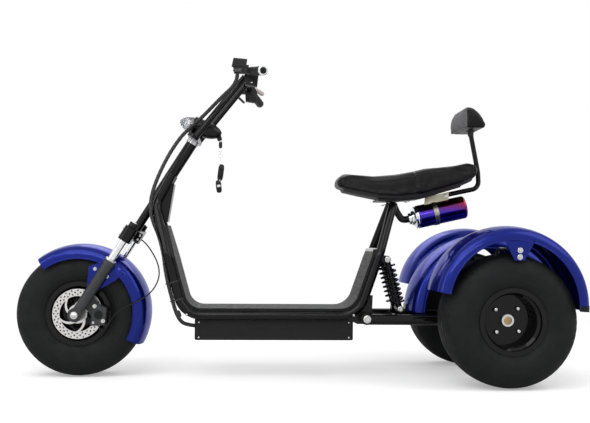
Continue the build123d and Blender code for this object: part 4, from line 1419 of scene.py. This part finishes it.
class SCOOTER_OT_seat(bpy.types.Operator):
    """Makes the swollen seat cushion, its hard base, the backrest pad and its socket"""

    bl_idname = "scooter.seat"
    bl_label = "Seat and backrest"

    def execute(self, context):
        cover = bpy.data.materials["seat_cover"]
        points, faces = seat_rings(120, 5, 4, 5, 929, 1443, 10, 7)
        seat = closed_piece("seat_cushion_sewn", "frame", [(points, faces)], cover)
        puffed(seat, 0.0055, 0.009, seat_underside)
        pressed_in(seat, seat_seams)
        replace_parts(seat, "seat_cushion")
        base = seat_rings(90, 13, 0, 20, 950, 1430, 8, 0)
        base_points = base[0].copy()
        behind = (FRONT_AXLE[0] - base_points[:, 0]) * 1000
        lid = (np.interp(behind, *SEAT_LOW.T) + 6) / 1000
        base_points[:, 2] = np.minimum(base_points[:, 2], lid)
        closed_piece("seat_base", "frame", [(base_points, base[1])],
                     bpy.data.materials["black_plastic"])
        pad = closed_piece("backrest_sewn", "frame", [pad_rings()], cover)
        puffed(pad, 0.0045, 0.006, lambda rest: rest[:, 2] < 0.9175)
        pressed_in(pad, pad_seams)
        # the pad's front faces get the lighter grey: painted light
        lit_front_faces(pad)
        socket = turned([(0, 0), (0, 11), (14, 11), (20, 20), (24, 30), (24, 0)], spot(1443.5, 0, 897),
                        (0, 0, 1), 36)
        closed_piece("backrest_socket", "frame", [socket], bpy.data.materials["black_plastic"])
        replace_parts(pad, "backrest_pad")
        return {"FINISHED"}


def seat_underside(rest):
    """Points of the cushion that lie on its base."""
    behind = (FRONT_AXLE[0] - rest[:, 0]) * 1000
    return rest[:, 2] * 1000 < np.interp(behind, *SEAT_LOW.T) + 4


# Stage

class SCOOTER_OT_stage(bpy.types.Operator):
    """Makes the floor, the lamps and the camera"""

    bl_idname = "scooter.stage"
    bl_label = "Stage"

    def execute(self, context):
        settings = context.scene.scooter_stage
        white_floor()
        sky(context.scene, settings.sky)
        lamp("key_lamp", (1.2, 2.6, 3.2), (0.0, 0.0, 0.4), 2.6, settings.key_power)
        lamp("strip_lamp", (0.5, 3.4, 1.9), (0.0, 0.0, 0.5), 2.6, settings.strip_power, 0.22)
        lamp("front_strip", (2.6, 1.6, 1.5), (0.2, 0.0, 0.5), 0.22, settings.strip_power * 0.7, 2.0)
        lamp("fill_lamp", (-2.4, 1.2, 2.4), (0.0, 0.0, 0.4), 2.0, settings.fill_power)
        lamp("back_lamp", (0.2, -2.8, 2.6), (0.0, 0.0, 0.5), 2.4, settings.fill_power)
        camera = bpy.data.cameras.new("camera")
        camera.lens = settings.lens
        camera.sensor_width = 36.0
        camera.clip_end = 60.0
        holder = bpy.data.objects.new("camera", camera)
        holder.location = (FRONT_AXLE[0] - settings.camera_behind, settings.camera_out,
                           settings.camera_up)
        holder.rotation_euler = settings.camera_turn
        context.scene.collection.objects.link(holder)
        context.scene.camera = holder
        context.scene.view_settings.view_transform = "Standard"
        return {"FINISHED"}


def white_floor():
    """A wide pale floor that shows as white to the camera but keeps the soft shadow."""
    mesh = bpy.data.meshes.new("floor")
    mesh.from_pydata([(-30, -30, 0), (30, -30, 0), (30, 30, 0), (-30, 30, 0)], [], [(0, 1, 2, 3)])
    floor = bpy.data.objects.new("floor", mesh)
    bpy.context.scene.collection.objects.link(floor)
    made = Finish("floor_white", (0.90, 0.90, 0.90), 0.95)
    made.set("Specular IOR Level", 0.0)
    made.tint(made.noise(3), (0.89, 0.89, 0.89), (0.91, 0.91, 0.91))
    made.set("Emission Color", (1.0, 1.0, 1.0, 1.0))
    path = made.node("LightPath")
    glow = made.span(path.outputs["Is Camera Ray"], 0.0, 1.0, 0.0, 0.34)
    made.links.new(glow, made.shader.inputs["Emission Strength"])
    reach = made.node("VectorMath", operation="LENGTH")
    made.links.new(made.place(), reach.inputs[0])
    far = made.span(reach.outputs["Value"], 1.5, 3.6, 0.0, 1.0)
    bare = made.node("Emission")
    blend = made.node("MixShader")
    made.links.new(far, blend.inputs[0])
    made.links.new(made.shader.outputs[0], blend.inputs[1])
    made.links.new(bare.outputs[0], blend.inputs[2])
    made.links.new(blend.outputs[0], made.nodes["Material Output"].inputs["Surface"])
    mesh.materials.append(made.material)


def sky(scene, strength):
    """White to the camera and in reflections, softer on dull surfaces."""
    world = bpy.data.worlds.new("studio")
    scene.world = world
    world.use_nodes = True
    nodes = world.node_tree.nodes
    links = world.node_tree.links
    back = nodes["Background"]
    back.inputs["Color"].default_value = (1.0, 1.0, 1.0, 1.0)
    path = nodes.new("ShaderNodeLightPath")
    seen = nodes.new("ShaderNodeMath")
    seen.operation = "MAXIMUM"
    clear = nodes.new("ShaderNodeMath")
    clear.operation = "MAXIMUM"
    links.new(path.outputs["Is Camera Ray"], seen.inputs[0])
    links.new(path.outputs["Is Glossy Ray"], seen.inputs[1])
    links.new(seen.outputs[0], clear.inputs[0])
    links.new(path.outputs["Is Transmission Ray"], clear.inputs[1])
    span = nodes.new("ShaderNodeMapRange")
    span.inputs["To Min"].default_value = strength
    span.inputs["To Max"].default_value = 1.0
    links.new(clear.outputs[0], span.inputs["Value"])
    links.new(span.outputs["Result"], back.inputs["Strength"])


def lamp(name, place, target, size, power, height=None):
    light = bpy.data.lights.new(name, "AREA")
    light.shape = "RECTANGLE"
    light.size = size
    light.size_y = height or size
    light.energy = power
    holder = bpy.data.objects.new(name, light)
    holder.location = place
    aim = Vector(target) - Vector(place)
    holder.rotation_euler = aim.to_track_quat("-Z", "Y").to_euler()
    bpy.context.scene.collection.objects.link(holder)


class SCOOTER_PT_panel(bpy.types.Panel):
    """Lists the settings and the operators"""

    bl_idname = "SCOOTER_PT_panel"
    bl_label = "Scooter"
    bl_space_type = "VIEW_3D"
    bl_region_type = "UI"
    bl_category = "Scooter"

    def draw(self, context):
        for group in (context.scene.scooter_paint, context.scene.scooter_tyres,
                      context.scene.scooter_stage):
            box = self.layout.box()
            for key in group.__annotations__:
                box.prop(group, key)
        for operator in OPERATORS:
            self.layout.operator(operator.bl_idname)


SETTINGS = {"scooter_paint": PaintSettings, "scooter_tyres": TyreSettings,
            "scooter_stage": StageSettings}
OPERATORS = [SCOOTER_OT_finishes, SCOOTER_OT_tyres, SCOOTER_OT_fenders, SCOOTER_OT_headlight,
             SCOOTER_OT_wheel_parts, SCOOTER_OT_canister, SCOOTER_OT_key,
             SCOOTER_OT_trim, SCOOTER_OT_cables, SCOOTER_OT_fasteners, SCOOTER_OT_seat,
             SCOOTER_OT_stage]


def register():
    for group in SETTINGS.values():
        bpy.utils.register_class(group)
    for shown in (*OPERATORS, SCOOTER_PT_panel):
        bpy.utils.register_class(shown)
    for name, group in SETTINGS.items():
        setattr(bpy.types.Scene, name, PointerProperty(type=group))


def unregister():
    for name in SETTINGS:
        delattr(bpy.types.Scene, name)
    for shown in (SCOOTER_PT_panel, *reversed(OPERATORS), *SETTINGS.values()):
        bpy.utils.unregister_class(shown)


def main():
    register()
    for operator in OPERATORS:
        group, name = operator.bl_idname.split(".")
        getattr(getattr(bpy.ops, group), name)()


if __name__ == "__main__":
    main()
